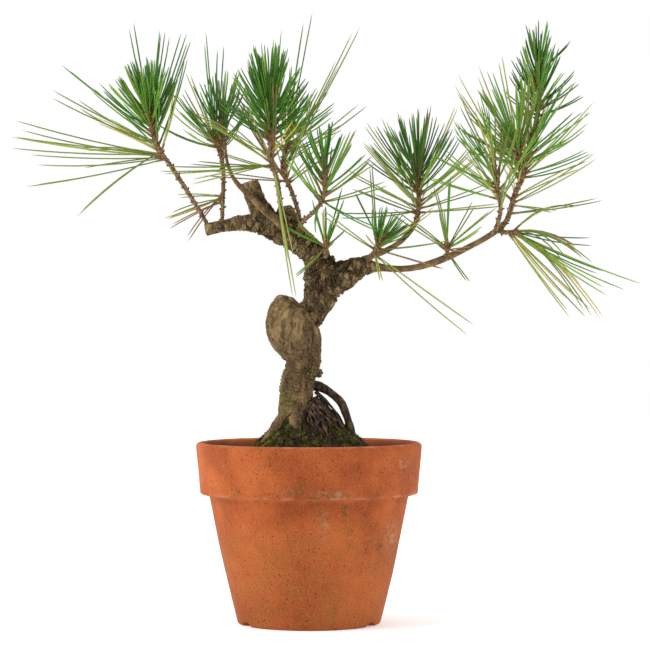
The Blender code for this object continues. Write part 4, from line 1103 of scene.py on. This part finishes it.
def makeSheaths(rows):
    # a short papery sleeve round the foot of each pair
    root, ahead = rows[:, :3], unit(rows[:, 3:6])
    side, up = sidesOf(ahead, aside["blade"])
    centre = root[:, None] + np.array(sheath["at"])[None, :, None] * ahead[:, None]
    wide = np.array(sheath["girth"])[None, :, None]
    ring = ringsRound(centre, side[:, None], up[:, None], wide, circle(sheath["sides"]))
    rings, sides = len(sheath["at"]), sheath["sides"]
    last = np.arange(sides) + (rings - 1) * sides
    caps = np.array([last, np.arange(sides)[::-1]])
    faces = [repeated(part, len(root), rings * sides) for part in (gridFaces(rings, sides), caps)]
    return newPiece("needleSheaths", (ring.reshape(-1, 3), faces), stuffPaint("paperySheath"))


twig = {"slim": 0.74, "step": 0.45, "sides": 16, "pitch": 2.3, "depth": 0.42}
peg = {"every": 5, "radii": [0.72, 0.6, 0.42], "sides": 6, "length": (1.1, 0.9), "root": 0.7}


def makeTwigs():
    # round stems whose radius rises and falls in winding rows of small scales
    shapes, whole = [], 2 * np.pi
    turn = circle(twig["sides"])
    for tuft in tufts.values():
        for points in tuft["paths"]:
            radii = np.linspace(*tuft["radii"], len(points))
            path, radii = smoothPath(points, radii * twig["slim"], 12)
            steps = np.linalg.norm(np.diff(path, axis=0), axis=1)
            length = np.concatenate([[0], np.cumsum(steps)])
            even = np.arange(0, length[-1], twig["step"])
            path = np.column_stack([np.interp(even, length, path[:, k]) for k in range(3)])
            radii = np.interp(even, length, radii)
            wind = even[:, None] / twig["pitch"]
            scale = (wind + 3 * turn / whole) % 1
            rows = (wind * 0.62 - 5 * turn / whole) % 1
            bumps = 1 + twig["depth"] * scale * (0.25 + np.abs(np.sin(np.pi * rows)))
            shapes.append(tube(path, radii[:, None] * bumps, twig["sides"]))
            shapes += pegs(path, radii)
    return newPiece("twigs", joined(shapes), stuffPaint("scalyTwig"))


def pegs(path, radii):
    # the short stubs that shed needles leave, set along the twig by the golden angle
    at = np.arange(peg["every"], len(path) - peg["every"] - 1, peg["every"])
    ahead = unit(path[at + 1] - path[at - 1])
    side, up = sidesOf(ahead, aside["spray"])
    turn = goldenAngle * np.arange(len(at))[:, None]
    out = np.cos(turn) * side + np.sin(turn) * up
    least, more = peg["length"]
    long = (least + more * hashed(np.column_stack([at, at, at]), 7))[:, None]
    foot = path[at] + out * radii[at, None] * 0.6
    tips = foot + unit(out + 0.7 * ahead) * (long + peg["root"])
    return [tube(np.array([a, a + 0.6 * (b - a), b]), peg["radii"], peg["sides"])
            for a, b in zip(foot, tips)]


# The twig that each bud ends, with the bud's length and width.
buds = [("needles_left_inner", 0, 9, 1.9), ("needles_centre_right", 0, 9, 1.9),
        ("needles_right_inner", 0, 12, 2.2), ("needles_right_outer", 1, 9, 1.9),
        ("needles_right_outer", 0, 8, 1.8), ("needles_left_outer", 0, 8, 1.8),
        ("needles_centre_front", 0, 9, 1.9), ("needles_right_low", 0, 8, 1.7),
        ("needles_right_small", 0, 8, 1.8), ("needles_right_node", 0, 7, 1.6),
        ("needles_centre_back", 0, 8, 1.8), ("needles_left_inner", 1, 8, 1.8)]
budShape = {"rings": 26, "sides": 16, "sunk": 0.8, "rows": 9, "scale": 0.16}


def makeBuds():
    # pointed eggs with rows of pressed scales
    shapes, turn = [], circle(budShape["sides"])
    at = np.linspace(0, 1, budShape["rings"])
    scale = (at[:, None] * budShape["rows"] + 3 * turn / (2 * np.pi)) % 1
    for name, on, length, wide in buds:
        path = np.array(tufts[name]["paths"][on], float)
        ahead = unit(path[-1] - path[-2])
        spine = path[-1] + (at * length - budShape["sunk"])[:, None] * ahead
        girth = wide * np.sin(np.pi * (0.12 + 0.88 * at) ** 0.8) ** 0.75 + 0.06
        bumps = girth[:, None] * (1 + budShape["scale"] * scale)
        shapes.append(tube(spine, bumps, budShape["sides"]))
    return newPiece("buds", joined(shapes), stuffPaint("budScales"))


studio = {
    "eye": (0.0001, -1.658, 0.1978), "lens": 137.4, "sensor": 36.0, "clip": 20,
    "sky": 1.15, "front": 0.25, "turnsDim": (-0.9, 0.4),
    "floorRadius": 3000, "floorSides": 96, "floorDrop": 0.05, "glow": 0.22,
    "aim": (0, 0, 0.2),
    "lights": [("key", (-1.7, -0.7, 1.5), 1.8, 36), ("fill", (1.8, -0.4, 0.9), 1.6, 13)],
}


def areaLight(name, place, size, power):
    # a round lamp that faces the plant
    lamp = bpy.data.lights.new(name, "AREA")
    lamp.shape = "DISK"
    lamp.size = size
    lamp.energy = power
    light = bpy.data.objects.new(name, lamp)
    bpy.context.scene.collection.objects.link(light)
    light.location = place
    away = np.array(place, float) - np.array(studio["aim"], float)
    light.rotation_euler = (math.atan2(math.hypot(away[0], away[1]), away[2]), 0,
                            math.atan2(away[1], away[0]) + math.pi / 2)


def makeFloor():
    # a pale disc that glows a little, so that no horizon shows
    sides, drop = studio["floorSides"], -studio["floorDrop"]
    turn = circle(sides)
    disc = studio["floorRadius"] * np.column_stack([np.cos(turn), np.sin(turn), 0 * turn])
    points = np.vstack([disc + (0, 0, drop), [[0, 0, drop]]])
    here = np.arange(sides)
    faces = np.stack([here, (here + 1) % sides, np.full(sides, sides)], axis=1)
    paint = plainPaint("paleFloor", tint(254, 254, 254), 1.0)
    floor = newPiece("paleFloor", (points, [faces]), paint)
    glow = paint.node_tree.nodes["Principled BSDF"].inputs
    glow["Emission Color"].default_value = (1, 1, 1, 1)
    glow["Emission Strength"].default_value = studio["glow"]


def makeSky():
    # white to the camera, and for the light it gives dimmer in front than behind
    world = bpy.data.worlds.new("softSky")
    world.use_nodes = True
    tree = world.node_tree
    place = addNode(tree, "ShaderNodeTexCoord", {}, {}).outputs["Generated"]
    facing = addNode(tree, "ShaderNodeSeparateXYZ", {}, {0: place}).outputs["Y"]
    low, high = studio["turnsDim"]
    light = addNode(tree, "ShaderNodeMapRange", {}, {
        "Value": facing, "From Min": low, "From Max": high,
        "To Min": studio["front"], "To Max": studio["sky"]}).outputs["Result"]
    toCamera = addNode(tree, "ShaderNodeLightPath", {}, {}).outputs["Is Camera Ray"]
    seen = addNode(tree, "ShaderNodeMix", {}, {0: toCamera, 2: light, 3: 1.0}).outputs[0]
    background = tree.nodes["Background"].inputs
    background["Color"].default_value = (1, 1, 1, 1)
    tree.links.new(seen, background["Strength"])
    bpy.context.scene.world = world


def makeStudio():
    makeFloor()
    makeSky()
    for name, place, size, power in studio["lights"]:
        areaLight(name, place, size, power)
    camera = bpy.data.objects.new("camera", bpy.data.cameras.new("camera"))
    bpy.context.scene.collection.objects.link(camera)
    camera.location = studio["eye"]
    camera.rotation_euler = (math.pi / 2, 0, 0)
    camera.data.lens = studio["lens"]
    camera.data.sensor_width = studio["sensor"]
    camera.data.clip_end = studio["clip"]
    bpy.context.scene.camera = camera
    bpy.context.scene.view_settings.view_transform = "Standard"
    print("floor, sky, lights and camera")


def place(piece, slot, *nodes):
    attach(piece, "root")
    if nodes:
        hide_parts(*nodes)
    print(piece.name, countTriangles(piece), "triangles")


makeStudio()
place(makePot(), "terracotta", "pot")
place(makeBark(), "bark", "trunk", "left_bough", "sawn_stub", "pruned_knob", "front_limb",
      "right_bough", "inner_right_bough")
place(makeDarkRoot(), "root_bark", "aerial_root")
place(makeGround(), "soil", "soil", "moss_mound")
place(makeGrains(), "soil")
place(makeFineRoots(), "root_bark")
place(makeMoss(), "moss", "moss_mound")
place(makeTwigs(), "bark", *tufts)
needlePieces, sheathRows = makeNeedles()
for needlePiece, carriers in needlePieces:
    place(needlePiece, "needles", *carriers)
place(makeSheaths(sheathRows), "needles")
place(makeBuds(), "bark")
